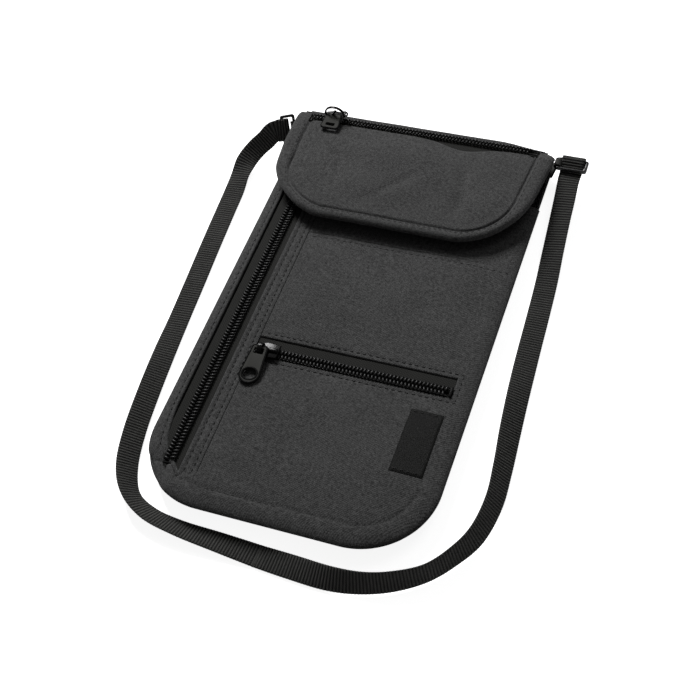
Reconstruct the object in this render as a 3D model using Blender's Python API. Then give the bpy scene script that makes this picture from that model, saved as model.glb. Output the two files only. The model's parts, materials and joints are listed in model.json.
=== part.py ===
"""Neck pouch wallet, lying on its back: a flat zipped pouch with a front flap and a webbing neck strap.

Metres, +Z up. The pouch lies on the XY plane with its front upwards: +X is to the right, seen from the
front, and +Y is the flap end. The origin is on the resting surface, under the middle of the pouch.
"""

import math

import bmesh
import bpy
from mathutils import Matrix, Vector

MM = 0.001
GAP = 0.3 * MM
OVERLAP = 0.05 * MM
SHARP_ANGLE = math.radians(35)

# Pouch outline
WIDTH = 125 * MM
LENGTH = 215 * MM
CORNER_RADIUS = 32 * MM
SEAM_WIDTH = 6 * MM
BACK_INSET = 5 * MM
ARC_STEPS = 10

# Layers of the pouch, from the resting surface up
BACK_THICKNESS = 1.2 * MM
DIVIDER_BASE = 2.0 * MM
DIVIDER_THICKNESS = 0.8 * MM
LINING_BASE = 7.6 * MM
LINING_THICKNESS = 0.6 * MM
FRONT_BASE = 9.4 * MM
FRONT_THICKNESS = 1.2 * MM
FRONT_TOP = FRONT_BASE + FRONT_THICKNESS
MOUTH_Y = 77.5 * MM
HALF_WIDTH = WIDTH / 2
HALF_LENGTH = LENGTH / 2

# Zips: heights are measured up from the underside of the tape
TAPE_THICKNESS = 0.5 * MM
COIL_LIFT = TAPE_THICKNESS + GAP
COIL_HEIGHT = 1.2 * MM
COIL_WIDTH = 2.1 * MM
CHAIN_GAP = 1.0 * MM
STOP_LENGTH = 1.2 * MM
FRONT_TAPE_BASE = FRONT_BASE + 0.1 * MM
TOP_TAPE_BASE = 16.4 * MM

# Side zip, along Y at the left of the front
SIDE_ZIP_X = -48.7 * MM
SIDE_SLOT_LEFT = -55.6 * MM
SIDE_SLOT_RIGHT = -43.2 * MM
SIDE_SLOT_END = -92.5 * MM
FACING_RIGHT = -35.2 * MM
SIDE_SLIDER_Y = 64.0 * MM

# Front zip, along X
FRONT_ZIP_Y = -30.0 * MM
FRONT_SLOT_TOP = -22.5 * MM
FRONT_SLOT_BOTTOM = -32.5 * MM
FRONT_SLOT_END = 53.6 * MM
FRONT_SLIDER_X = -28.2 * MM

# Top zip, along X at the root of the flap
TOP_ZIP_Y = 103.6 * MM
TOP_ZIP_HALF_WIDTH = 3.4 * MM
TOP_ZIP_HALF_LENGTH = 57.0 * MM
TOP_SLIDER_X = -44.8 * MM
END_TAB_LENGTH = 5.0 * MM

# Sliders and pullers
SLIDER_LENGTH = 9.4 * MM
SLIDER_WIDTH = 7.6 * MM
SLIDER_NOSE = 5.2 * MM
SLIDER_TAIL = 6.8 * MM
SLIDER_SHOULDER = 1.1 * MM
WING_SHARE = 0.86
POST_LENGTH = 7.5 * MM
WING_THICKNESS = 0.6 * MM
WING_DROP = 0.95 * MM
PLATE_THICKNESS = 1.0 * MM
PLATE_LIFT = COIL_LIFT + COIL_HEIGHT + 0.35 * MM
POST_THICKNESS = 0.4 * MM
BRIDGE_WIDTH = 2.2 * MM
BRIDGE_SPAN = 3.4 * MM
BRIDGE_LEG = 1.0 * MM
BRIDGE_RISE = 1.7 * MM
BRIDGE_THICKNESS = 0.75 * MM
PIVOT_LIFT = PLATE_LIFT + PLATE_THICKNESS + BRIDGE_RISE / 2
PULLER_LENGTH = 17.5 * MM
PULLER_WIDTH = 7.4 * MM
PULLER_NECK = 6.4 * MM
PULLER_THICKNESS = 1.0 * MM
PULLER_HOLE_RADIUS = 2.6 * MM
HOLE_SIDES = 16
EYE_WIDTH = 4.4 * MM
EYE_LENGTH = 3.8 * MM
PULLER_DROOP = math.radians(3.5)
TOP_PULLER_LENGTH = 12.6 * MM
TOP_PULLER_WIDTH = 8.6 * MM
TOP_PULLER_CORNER = 1.6 * MM
TOP_PULLER_SLOT = (4.8 * MM, 1.8 * MM)
TOP_PULLER_SLOT_Y = -9.6 * MM

# Flap
FLAP_HALF_WIDTH = 63.8 * MM
FLAP_ROOT_Y = 99.9 * MM
FLAP_TIP_Y = 43.5 * MM
FLAP_RADIUS = 30 * MM
FLAP_LINING_BASE = 16.3 * MM
FLAP_LINING_THICKNESS = 0.8 * MM
FLAP_LINING_INSET = 1.0 * MM
FLAP_BASE = 17.4 * MM
FLAP_THICKNESS = 1.2 * MM
FLAP_HINGE_Y = 107.2 * MM
GUSSET_Y = 105.4 * MM
GUSSET_TOP = 15.1 * MM
GUSSET_HALF_WIDTH = 58.0 * MM

# Hook and loop closure and the bare woven label
PATCH_HALF_WIDTH = 22 * MM
PATCH_Y = (49 * MM, 61 * MM)
PATCH_THICKNESS = 0.9 * MM
LABEL_X = (39.4 * MM, 53.4 * MM)
LABEL_Y = (-72.0 * MM, -41.5 * MM)
LABEL_THICKNESS = 0.4 * MM

# Strap rings. In a ring's own frame a runs away from its tab, b along the bar in the tab, c out of its face.
# The right ring lies level, held by a short side. The left one leans back, held by a long side.
RING_LONG = 14.2 * MM
RING_SHORT = 7.2 * MM
RING_BAR = 1.2 * MM
RING_THICKNESS = 1.5 * MM
RIGHT_RING_AXIS = Vector((64.7, 103.4, 13.0)) * MM
LEFT_RING_AXIS = Vector((-65.7, 100.6, 10.2)) * MM
LEFT_RING_A = Vector((-0.842, -0.529, 0.106))
LEFT_RING_B = Vector((-0.26, 0.57, 0.78))
RIGHT_TAB_HALF_WIDTH = 2.2 * MM
LEFT_TAB_HALF_WIDTH = 3.6 * MM
TAB_FOOT_WIDTH = 4.4 * MM
TAB_LOOP_INNER = 1.2 * MM
TAB_THICKNESS = 0.6 * MM
TAB_FOOT_X = 58.0 * MM
TAB_STEM = 0.8 * MM
LOOP_SIDES = 20

# Neck strap
STRAP_WIDTH = 10 * MM
STRAP_THICKNESS = 1.0 * MM
STRAP_ON_RING = 7.1 * MM
STRAP_WRAP_RADIUS = 1.7 * MM
RIGHT_WRAP_ANGLES = (118, 80, 40, 0, -40, -80)
LEFT_WRAP_ANGLES = (98, 139, 180, 221, 262)
STRAP_LEAD = 4.5 * MM
STRAP_LEAD_DROP = 0.5 * MM
STRAP_RISE = (2.8 * MM, -0.2 * MM)
STRAP_SEWN_END = 2.4 * MM
STRAP_STEP = 9 * MM

# The strap's lie, chosen by hand from the left ring round to the right ring: x, y, z of its middle in
# millimetres, and its roll in degrees. At 0 it lies flat; above 0 its outer edge is raised.
LEFT_ROUTE = [
    (-77.6, 91.2, 8.9, 48),
    (-81.4, 86.8, 6.4, 44),
    (-84.2, 80.0, 4.2, 24),
    (-84.9, 72.4, 2.2, -8),
    (-84.4, 62.0, 0.7, 0),
    (-83.6, 48.0, 0.6, 0),
    (-82.2, 26.0, 0.6, 0),
    (-80.6, 4.0, 0.6, 0),
    (-79.2, -17.0, 0.6, 0),
    (-77.5, -36.0, 1.7, 12),
    (-75.2, -57.0, 2.7, 25),
    (-72.4, -78.0, 3.0, 29),
    (-68.0, -94.6, 3.6, 37),
    (-60.8, -106.2, 4.2, 47),
    (-50.0, -112.4, 3.5, 36),
    (-36.0, -115.0, 2.9, 28),
    (-18.0, -116.0, 1.8, 14),
    (0.0, -117.0, 0.7, 0),
]
RIGHT_ROUTE = [
    (0.0, -117.0, 0.7, 0),
    (14.0, -118.2, 2.0, -16),
    (30.0, -119.4, 3.7, -38),
    (43.0, -118.2, 4.6, -56),
    (54.6, -114.4, 5.0, -65),
    (65.6, -107.8, 5.2, -73),
    (73.6, -98.2, 5.1, -69),
    (79.6, -86.6, 4.8, -58),
    (82.0, -71.0, 4.3, -50),
    (81.2, -55.0, 3.9, -43),
    (79.4, -37.0, 3.1, -32),
    (77.8, -18.0, 2.4, -22),
    (76.4, 3.0, 1.2, -7),
    (75.4, 23.0, 0.8, -2),
    (74.4, 42.0, 1.0, 2),
    (73.2, 59.0, 3.0, 10),
    (72.3, 75.0, 6.2, 12),
    (71.8, 87.0, 9.2, 6),
]

COLOURS = {
    "fabric": ((0.062, 0.062, 0.064), 0.9, 0.0),
    "lining": ((0.035, 0.035, 0.037), 0.85, 0.0),
    "tape": ((0.016, 0.016, 0.016), 0.85, 0.0),
    "coil": ((0.02, 0.02, 0.02), 0.4, 0.0),
    "metal": ((0.02, 0.02, 0.021), 0.35, 0.6),
    "webbing": ((0.018, 0.018, 0.018), 0.8, 0.0),
    "label": ((0.012, 0.012, 0.012), 0.75, 0.0),
    "plastic": ((0.018, 0.018, 0.018), 0.4, 0.0),
}


def clear_scene():
    for old in list(bpy.data.objects):
        bpy.data.objects.remove(old)


def material(kind):
    """One Principled material for each finish, made once."""
    found = bpy.data.materials.get(kind)
    if found:
        return found
    colour, roughness, metallic = COLOURS[kind]
    made = bpy.data.materials.new(kind)
    made.use_nodes = True
    shader = made.node_tree.nodes["Principled BSDF"]
    shader.inputs["Base Color"].default_value = (*colour, 1.0)
    shader.inputs["Roughness"].default_value = roughness
    shader.inputs["Metallic"].default_value = metallic
    return made


def shade(mesh):
    """Round faces smooth, with the real edges kept sharp."""
    mesh.shade_smooth()
    mesh.set_sharp_from_angle(angle=SHARP_ANGLE)


def set_origin(piece, point):
    """Move a piece's origin to a point of the world, with its mesh left where it is."""
    piece.data.transform(Matrix.Translation(-Vector(point)))
    piece.location = point


def hang(names, parent):
    """Parent pieces that are already in place, keeping them there."""
    bpy.context.view_layer.update()
    for name in names:
        piece = bpy.data.objects[name]
        piece.parent = parent
        piece.matrix_parent_inverse = parent.matrix_world.inverted()


def add(name, bm, kind):
    """A named object from a bmesh, with its faces pointing out."""
    bmesh.ops.recalc_face_normals(bm, faces=bm.faces)
    mesh = bpy.data.meshes.new(name)
    bm.to_mesh(mesh)
    bm.free()
    mesh.materials.append(material(kind))
    shade(mesh)
    made = bpy.data.objects.new(name, mesh)
    bpy.context.scene.collection.objects.link(made)
    return made


def loft(bm, loops):
    """Closed skin through matching loops of points, capped at both ends."""
    rings = [[bm.verts.new(p) for p in loop] for loop in loops]
    for low, high in zip(rings, rings[1:]):
        for i in range(len(low)):
            j = (i + 1) % len(low)
            bm.faces.new((low[i], low[j], high[j], high[i]))
    bm.faces.new(rings[0])
    bm.faces.new(rings[-1])


def prism(bm, outline, low, high, place=None):
    """Upright prism on an outline of (x, y) points, moved by a matrix where one is given."""
    move = place or Matrix.Identity(4)
    loft(bm, [[move @ Vector((x, y, z)) for x, y in outline] for z in (low, high)])


def plate(name, outline, low, thickness, kind):
    bm = bmesh.new()
    prism(bm, outline, low, low + thickness)
    return add(name, bm, kind)


def box(low_x, low_y, high_x, high_y):
    return [(low_x, low_y), (high_x, low_y), (high_x, high_y), (low_x, high_y)]


def arc(centre, radius, start, end, steps=ARC_STEPS):
    """Points of an arc, in degrees, both ends included."""
    angles = [math.radians(start + (end - start) * i / steps) for i in range(steps + 1)]
    return [(centre[0] + radius * math.cos(a), centre[1] + radius * math.sin(a)) for a in angles]


def tongue(half_width, top, bottom, radius):
    """Outline with a straight top edge and two round bottom corners, anticlockwise from the top left."""
    left = arc((-half_width + radius, bottom + radius), radius, 180, 270)
    right = arc((half_width - radius, bottom + radius), radius, 270, 360)
    return [(-half_width, top), *left, *right, (half_width, top)]


def pouch_outline(inset, top):
    return tongue(HALF_WIDTH - inset, top - inset, -HALF_LENGTH + inset, CORNER_RADIUS - inset)


def outline_bottom(x):
    """Y of the pouch's lower edge at x, on a round corner or the straight between them."""
    over = max(0.0, abs(x) - (HALF_WIDTH - CORNER_RADIUS))
    return -HALF_LENGTH + CORNER_RADIUS - math.sqrt(CORNER_RADIUS**2 - over**2)


def joined(name, shapes, cutters, kind):
    """One body: the shapes united, then the cutters taken away. Both are lists of bmeshes."""
    body = add(name, shapes[0], kind)
    tools = []
    for operation, group in (("UNION", shapes[1:]), ("DIFFERENCE", cutters)):
        for bm in group:
            tool = add(name + "_tool", bm, kind)
            modifier = body.modifiers.new(operation.lower(), "BOOLEAN")
            modifier.operation = operation
            modifier.object = tool
            tools.append(tool)
    solid = bpy.data.meshes.new_from_object(body.evaluated_get(bpy.context.evaluated_depsgraph_get()))
    body.modifiers.clear()
    body.data = solid
    shade(solid)
    for tool in tools:
        bpy.data.objects.remove(tool)
    return body


def block(centre, size):
    """A bmesh box by its middle and its size."""
    bm = bmesh.new()
    place = Matrix.Translation(centre) @ Matrix.Diagonal((*size, 1.0))
    bmesh.ops.create_cube(bm, size=1.0, matrix=place)
    return bm


def pouch_layers():
    """Back, divider, lining and the sewn edge that holds them together round three sides.

    The edge leans in towards the back, as the side of a soft pouch does when it lies down.
    """
    back = pouch_outline(BACK_INSET, HALF_LENGTH + BACK_INSET)
    plate("back_panel", back, 0, BACK_THICKNESS, "fabric")
    inside = SEAM_WIDTH + GAP
    divider = pouch_outline(inside, GUSSET_Y - GAP + inside)
    plate("divider_panel", divider, DIVIDER_BASE, DIVIDER_THICKNESS, "lining")
    lining = pouch_outline(inside, MOUTH_Y + inside)
    plate("pocket_lining", lining, LINING_BASE, LINING_THICKNESS, "lining")
    seam_top = GUSSET_Y - GAP
    base = BACK_THICKNESS + GAP
    loops = []
    for inset, z in ((BACK_INSET, base), (GAP, FRONT_BASE - GAP)):
        outer = pouch_outline(inset, seam_top + inset)
        inner = pouch_outline(SEAM_WIDTH, seam_top + SEAM_WIDTH)
        loops.append([(x, y, z) for x, y in outer + inner[::-1]])
    edge = bmesh.new()
    loft(edge, loops)
    add("edge_seam", edge, "fabric")
    gusset = box(-GUSSET_HALF_WIDTH, GUSSET_Y, GUSSET_HALF_WIDTH, GUSSET_Y + BACK_THICKNESS)
    plate("top_gusset", gusset, base, GUSSET_TOP - base, "fabric")


def front_panels():
    """The front is cut into four panels by the side zip and the front zip."""
    cut = FACING_RIGHT - GAP / 2
    corner_x = -HALF_WIDTH + CORNER_RADIUS
    corner_y = -HALF_LENGTH + CORNER_RADIUS
    corner_end = 360 - math.degrees(math.acos((cut - corner_x) / CORNER_RADIUS))
    corner = arc((corner_x, corner_y), CORNER_RADIUS, 180, corner_end)
    strip_foot = SIDE_SLOT_END - GAP
    strip = [
        (-HALF_WIDTH, MOUTH_Y),
        *corner,
        (cut, strip_foot),
        (SIDE_SLOT_LEFT, strip_foot),
        (SIDE_SLOT_LEFT, MOUTH_Y),
    ]
    plate("side_strip", strip, FRONT_BASE, FRONT_THICKNESS, "fabric")
    facing = box(SIDE_SLOT_RIGHT, SIDE_SLOT_END, cut, MOUTH_Y)
    plate("side_zip_facing", facing, FRONT_BASE, FRONT_THICKNESS, "fabric")
    panel_left = cut + GAP
    upper = box(panel_left, FRONT_SLOT_TOP, HALF_WIDTH, MOUTH_Y)
    plate("front_upper_panel", upper, FRONT_BASE, FRONT_THICKNESS, "fabric")
    lower_top = FRONT_SLOT_BOTTOM - GAP
    round_corner = arc((-corner_x, corner_y), CORNER_RADIUS, 270, 360)
    lower = [
        (panel_left, lower_top),
        (panel_left, outline_bottom(panel_left)),
        (corner_x, -HALF_LENGTH),
        *round_corner,
        (HALF_WIDTH, FRONT_SLOT_TOP - GAP),
        (FRONT_SLOT_END, FRONT_SLOT_TOP - GAP),
        (FRONT_SLOT_END, lower_top),
    ]
    plate("front_lower_panel", lower, FRONT_BASE, FRONT_THICKNESS, "fabric")


def zip_side(name, tape, coil, base):
    """One half of a zip: its tape and the coil sewn on it, as outlines."""
    plate(name + "_tape", tape, base, TAPE_THICKNESS, "tape")
    plate(name + "_coil", coil, base + COIL_LIFT, COIL_HEIGHT, "coil")


def stops(zip_name, outlines, base):
    """Small end stops of a zip, by the word for each one's place."""
    for word, outline in outlines.items():
        plate(f"{zip_name}_{word}_stop", outline, base + COIL_LIFT, COIL_HEIGHT, "metal")


def side_zip():
    half_gap = CHAIN_GAP / 2
    inner_left = SIDE_ZIP_X - half_gap
    inner_right = SIDE_ZIP_X + half_gap
    low = SIDE_SLOT_END + GAP
    high = MOUTH_Y - GAP
    coil_low = low + STOP_LENGTH + GAP
    coil_high = high - STOP_LENGTH - GAP
    left_edge = inner_left - COIL_WIDTH
    right_edge = inner_right + COIL_WIDTH
    zip_side(
        "side_zip_left",
        box(SIDE_SLOT_LEFT + GAP, low, inner_left, high),
        box(left_edge, coil_low, inner_left, coil_high),
        FRONT_TAPE_BASE,
    )
    zip_side(
        "side_zip_right",
        box(inner_right, low, SIDE_SLOT_RIGHT - GAP, high),
        box(inner_right, coil_low, right_edge, coil_high),
        FRONT_TAPE_BASE,
    )
    ends = {
        "end": box(left_edge, low, right_edge, low + STOP_LENGTH),
        "left": box(left_edge, high - STOP_LENGTH, inner_left, high),
        "right": box(inner_right, high - STOP_LENGTH, right_edge, high),
    }
    stops("side_zip", ends, FRONT_TAPE_BASE)


def front_zip():
    half_gap = CHAIN_GAP / 2
    low_edge = FRONT_ZIP_Y - half_gap
    high_edge = FRONT_ZIP_Y + half_gap
    left = FACING_RIGHT + GAP / 2
    right = FRONT_SLOT_END - GAP
    coil_left = left + STOP_LENGTH + GAP
    coil_right = right - STOP_LENGTH - GAP
    lower_side = low_edge - COIL_WIDTH + GAP
    upper_side = high_edge + COIL_WIDTH
    zip_side(
        "front_zip_upper",
        box(left, high_edge, right, FRONT_SLOT_TOP - GAP),
        box(coil_left, high_edge, coil_right, upper_side),
        FRONT_TAPE_BASE,
    )
    zip_side(
        "front_zip_lower",
        box(left, lower_side, right, low_edge),
        box(coil_left, lower_side, coil_right, low_edge),
        FRONT_TAPE_BASE,
    )
    ends = {
        "upper": box(left, high_edge, left + STOP_LENGTH, upper_side),
        "lower": box(left, lower_side, left + STOP_LENGTH, low_edge),
        "end": box(right - STOP_LENGTH, lower_side, right, upper_side),
    }
    stops("front_zip", ends, FRONT_TAPE_BASE)


def top_zip():
    """The zip along the flap's root, with a folded fabric tab over each of its ends."""
    half_gap = CHAIN_GAP / 2
    end = TOP_ZIP_HALF_LENGTH
    coil_end = end - STOP_LENGTH - GAP
    for name, sign in (("top_zip_front", -1), ("top_zip_rear", 1)):
        inner = TOP_ZIP_Y + sign * half_gap
        outer = TOP_ZIP_Y + sign * TOP_ZIP_HALF_WIDTH
        coil = inner + sign * COIL_WIDTH
        tape_y = sorted((inner, outer))
        coil_y = sorted((inner, coil))
        zip_side(
            name,
            box(-end, tape_y[0], end, tape_y[1]),
            box(-coil_end, coil_y[0], coil_end, coil_y[1]),
            TOP_TAPE_BASE,
        )
    side = half_gap + COIL_WIDTH
    ends = {
        "rear": box(-end, TOP_ZIP_Y + half_gap, -end + STOP_LENGTH, TOP_ZIP_Y + side),
        "front": box(-end, TOP_ZIP_Y - side, -end + STOP_LENGTH, TOP_ZIP_Y - half_gap),
        "end": box(end - STOP_LENGTH, TOP_ZIP_Y - side, end, TOP_ZIP_Y + side),
    }
    stops("top_zip", ends, TOP_TAPE_BASE)
    for sign, word in ((-1, "left"), (1, "right")):
        edges = sorted((sign * (end + GAP), sign * (end + GAP + END_TAB_LENGTH)))
        tab = box(edges[0], TOP_ZIP_Y - TOP_ZIP_HALF_WIDTH, edges[1], TOP_ZIP_Y + TOP_ZIP_HALF_WIDTH)
        plate(f"top_zip_{word}_tab", tab, TOP_TAPE_BASE, BACK_THICKNESS, "fabric")


def slider(name, x, y, base, along_y):
    """A zip slider: two wings joined by a thin post between the coils, and a bridge for the puller."""
    turn = Matrix.Rotation(math.pi / 2 if along_y else 0, 4, "Z")
    place = Matrix.Translation((x, y, base)) @ turn
    plate_middle = PLATE_LIFT + PLATE_THICKNESS / 2
    wing_middle = -WING_DROP + WING_THICKNESS / 2
    post_height = plate_middle - wing_middle
    half_length = SLIDER_LENGTH / 2
    outline = [
        (-half_length, -SLIDER_NOSE / 2),
        (-SLIDER_SHOULDER, -SLIDER_WIDTH / 2),
        (half_length, -SLIDER_TAIL / 2),
        (half_length, SLIDER_TAIL / 2),
        (-SLIDER_SHOULDER, SLIDER_WIDTH / 2),
        (-half_length, SLIDER_NOSE / 2),
    ]
    top = bmesh.new()
    prism(top, outline, PLATE_LIFT, PLATE_LIFT + PLATE_THICKNESS, place)
    wing = bmesh.new()
    narrow = [(px, py * WING_SHARE) for px, py in outline]
    prism(wing, narrow, -WING_DROP, -WING_DROP + WING_THICKNESS, place)
    post = block((0, 0, wing_middle + post_height / 2), (POST_LENGTH, POST_THICKNESS, post_height))
    post.transform(place)
    bridge_low = base + PLATE_LIFT + PLATE_THICKNESS / 2
    bridge_top = base + PLATE_LIFT + PLATE_THICKNESS + BRIDGE_RISE
    leg_height = bridge_top - bridge_low
    shapes = [top, wing, post]
    for sign in (-1, 1):
        leg_y = y + sign * (BRIDGE_SPAN + BRIDGE_LEG) / 2
        shapes.append(block((x, leg_y, bridge_low + leg_height / 2), (BRIDGE_WIDTH, BRIDGE_LEG, leg_height)))
    bar_z = bridge_top + BRIDGE_THICKNESS / 2 - OVERLAP
    bar_length = BRIDGE_SPAN + 2 * BRIDGE_LEG
    shapes.append(block((x, y, bar_z), (BRIDGE_WIDTH, bar_length, BRIDGE_THICKNESS + 2 * OVERLAP)))
    made = joined(name, shapes, [], "metal")
    set_origin(made, (x, y, base))
    return made


def pull_tab(name, outline, hole, pivot, up=False):
    """A flat tab with an eye round the slider's bridge and a hole of its own."""
    half = PULLER_THICKNESS / 2
    body = bmesh.new()
    prism(body, outline, -half, half)
    eye = block((0, -half - EYE_LENGTH / 2, 0), (EYE_WIDTH, EYE_LENGTH, 4 * half))
    made = joined(name, [body], [eye, hole], "metal")
    made.location = pivot
    made.rotation_euler = (PULLER_DROOP, 0, math.pi if up else 0)
    return made


def round_puller(name, x, y, base, up):
    """A long tab with a round tip and a round hole in it."""
    neck = PULLER_NECK / 2
    tip_radius = PULLER_WIDTH / 2
    tip_y = -PULLER_LENGTH + tip_radius
    half = PULLER_THICKNESS / 2
    outline = [(-neck, half), *arc((0, tip_y), tip_radius, 180, 360), (neck, half)]
    hole = bmesh.new()
    hole_end = 360 - 360 / HOLE_SIDES
    prism(hole, arc((0, tip_y), PULLER_HOLE_RADIUS, 0, hole_end, HOLE_SIDES - 1), -2 * half, 2 * half)
    return pull_tab(name, outline, hole, (x, y, base + PIVOT_LIFT), up)


def broad_puller(name, x, y, base):
    """A short, broad tab with a slot near its end."""
    wide = TOP_PULLER_WIDTH / 2
    corner = TOP_PULLER_CORNER
    corner_y = -TOP_PULLER_LENGTH + corner
    half = PULLER_THICKNESS / 2
    left = arc((-wide + corner, corner_y), corner, 180, 270)
    right = arc((wide - corner, corner_y), corner, 270, 360)
    outline = [(-wide, half), *left, *right, (wide, half)]
    slot = block((0, TOP_PULLER_SLOT_Y, 0), (*TOP_PULLER_SLOT, 4 * half))
    return pull_tab(name, outline, slot, (x, y, base + PIVOT_LIFT))


def flap():
    outer = tongue(FLAP_HALF_WIDTH, FLAP_ROOT_Y, FLAP_TIP_Y, FLAP_RADIUS)
    plate("flap_outer", outer, FLAP_BASE, FLAP_THICKNESS, "fabric")
    inset = FLAP_LINING_INSET
    under = tongue(FLAP_HALF_WIDTH - inset, FLAP_ROOT_Y - inset, FLAP_TIP_Y + inset, FLAP_RADIUS - inset)
    plate("flap_lining", under, FLAP_LINING_BASE, FLAP_LINING_THICKNESS, "lining")


def closure_and_label():
    patch = box(-PATCH_HALF_WIDTH, PATCH_Y[0], PATCH_HALF_WIDTH, PATCH_Y[1])
    plate("loop_patch", patch, FRONT_TOP + GAP, PATCH_THICKNESS, "tape")
    plate("hook_patch", patch, FLAP_LINING_BASE - GAP - PATCH_THICKNESS, PATCH_THICKNESS, "tape")
    label = box(LABEL_X[0], LABEL_Y[0], LABEL_X[1], LABEL_Y[1])
    plate("woven_label", label, FRONT_TOP + GAP, LABEL_THICKNESS, "label")


def ring_frame(side):
    """Matrix from a ring's own a, b, c to the world."""
    if side > 0:
        return Matrix.Translation(RIGHT_RING_AXIS)
    b = LEFT_RING_B.normalized()
    a = (LEFT_RING_A - b * LEFT_RING_A.dot(b)).normalized()
    turned = Matrix((a, b, a.cross(b))).transposed().to_4x4()
    return Matrix.Translation(LEFT_RING_AXIS) @ turned


def ring_size(side):
    """How far a ring reaches along a from its tab, and half its length along b."""
    along, length = (RING_LONG, RING_SHORT) if side > 0 else (RING_SHORT, RING_LONG)
    return along - RING_BAR / 2, length / 2


def strap_ring(name, side):
    """Rectangular ring, with one bar on the swing axis in its tab."""
    frame = ring_frame(side)
    reach, half_length = ring_size(side)
    half = RING_THICKNESS / 2
    low = -RING_BAR / 2 + OVERLAP
    body = bmesh.new()
    prism(body, box(low, -half_length, reach, half_length), -half, half)
    window = bmesh.new()
    window_y = half_length - RING_BAR
    prism(window, box(-low, -window_y, reach - RING_BAR, window_y), -2 * half, 2 * half)
    made = joined(name, [body], [window], "plastic")
    made.data.transform(frame)
    set_origin(made, frame.translation)
    return made


def strap_tab(name, side):
    """Webbing tab sewn on the edge seam and looped round one bar of the ring."""
    outer = TAB_LOOP_INNER + TAB_THICKNESS
    full = 360 - 360 / LOOP_SIDES
    frame = ring_frame(side)
    axis = frame.translation
    half_width = RIGHT_TAB_HALF_WIDTH if side > 0 else LEFT_TAB_HALF_WIDTH
    round_bar = frame @ Matrix(((1, 0, 0, 0), (0, 0, 1, 0), (0, 1, 0, 0), (0, 0, 0, 1)))
    loop = bmesh.new()
    prism(loop, arc((0, 0), outer, 0, full, LOOP_SIDES - 1), -half_width, half_width, round_bar)
    bore = bmesh.new()
    reach = 2 * half_width
    prism(bore, arc((0, 0), TAB_LOOP_INNER, 0, full, LOOP_SIDES - 1), -reach, reach, round_bar)
    stem_low = HALF_WIDTH + GAP
    stem_high = abs(axis.x) - TAB_LOOP_INNER
    stem_middle = (side * (stem_low + stem_high) / 2, axis.y, (FRONT_BASE + axis.z) / 2)
    stem = block(stem_middle, (stem_high - stem_low, TAB_FOOT_WIDTH, axis.z - FRONT_BASE))
    foot_middle = (side * (TAB_FOOT_X + stem_high) / 2, axis.y, FRONT_BASE + TAB_STEM / 2)
    foot = block(foot_middle, (stem_high - TAB_FOOT_X, TAB_FOOT_WIDTH, TAB_STEM))
    return joined(name, [loop, stem, foot], [bore], "webbing")


def wrap(bar, angles):
    """Points of the strap's middle round a bar, in the plane across that bar."""
    swings = [math.radians(angle) for angle in angles]
    radius = STRAP_WRAP_RADIUS
    return [(bar + radius * math.cos(swing), radius * math.sin(swing)) for swing in swings]


def right_threading():
    """Stations of the strap through the right ring: under its near bar, then round its far bar to the end."""
    near = ring_size(1)[1] - RING_BAR / 2
    under = -RING_THICKNESS / 2 - STRAP_THICKNESS / 2 - 2 * GAP
    lead = (-near - STRAP_LEAD, under - STRAP_LEAD_DROP)
    turn = [lead, (-near, under), (-near + STRAP_RISE[0], STRAP_RISE[1]), *wrap(near, RIGHT_WRAP_ANGLES)]
    turn.append((near - STRAP_SEWN_END, -STRAP_WRAP_RADIUS))
    frame = ring_frame(1)
    across = frame.to_3x3() @ Vector((1, 0, 0))
    return [(frame @ Vector((STRAP_ON_RING, b, c)), across) for b, c in turn]


def left_threading():
    """Stations of the strap at the left ring: from its sewn end round the outer bar and away."""
    outer = ring_size(-1)[0] - RING_BAR / 2
    turn = [(outer + STRAP_SEWN_END, STRAP_WRAP_RADIUS), *wrap(outer, LEFT_WRAP_ANGLES)]
    turn.append((outer + STRAP_LEAD, -STRAP_WRAP_RADIUS + STRAP_LEAD_DROP))
    frame = ring_frame(-1)
    across = frame.to_3x3() @ Vector((0, 1, 0))
    return [(frame @ Vector((a, 0, c)), across) for a, c in turn]


def route_stations(route):
    """Stations of a stretch on the ground: the middle of the strap and the direction across its width."""
    middles = [Vector((x, y, z)) * MM for x, y, z, _ in route]
    made = []
    for i, (middle, (_, _, _, roll)) in enumerate(zip(middles, route)):
        ahead = middles[min(i + 1, len(middles) - 1)] - middles[max(i - 1, 0)]
        level = Vector((ahead.y, -ahead.x, 0)).normalized()
        tilt = math.radians(roll)
        made.append((middle, level * math.cos(tilt) + Vector((0, 0, math.sin(tilt)))))
    return made


def smooth(values, i, t):
    """Catmull-Rom value between stations i and i + 1."""
    p0, p1 = values[max(i - 1, 0)], values[i]
    p2, p3 = values[i + 1], values[min(i + 2, len(values) - 1)]
    square = 2 * p0 - 5 * p1 + 4 * p2 - p3
    cube = 3 * p1 - p0 - 3 * p2 + p3
    return (2 * p1 + (p2 - p0) * t + square * t**2 + cube * t**3) / 2


def strap_run(name, stations):
    """A flat band of webbing swept through its stations."""
    middles = [s[0] for s in stations]
    widths = [s[1] for s in stations]
    points, acrosses = [], []
    for i in range(len(stations) - 1):
        steps = max(1, round((middles[i + 1] - middles[i]).length / STRAP_STEP))
        for k in range(steps):
            points.append(smooth(middles, i, k / steps))
            acrosses.append(smooth(widths, i, k / steps))
    points.append(middles[-1])
    acrosses.append(widths[-1])
    loops = []
    for i, (point, across) in enumerate(zip(points, acrosses)):
        along = (points[min(i + 1, len(points) - 1)] - points[max(i - 1, 0)]).normalized()
        across = (across - along * across.dot(along)).normalized() * STRAP_WIDTH / 2
        out = along.cross(across).normalized() * STRAP_THICKNESS / 2
        loops.append([point - across - out, point + across - out, point + across + out, point - across + out])
    bm = bmesh.new()
    loft(bm, loops)
    length = sum((b - a).length for a, b in zip(points, points[1:]))
    print(f"{name}: {length * 1000:.0f} mm of webbing")
    return add(name, bm, "webbing")


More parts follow.
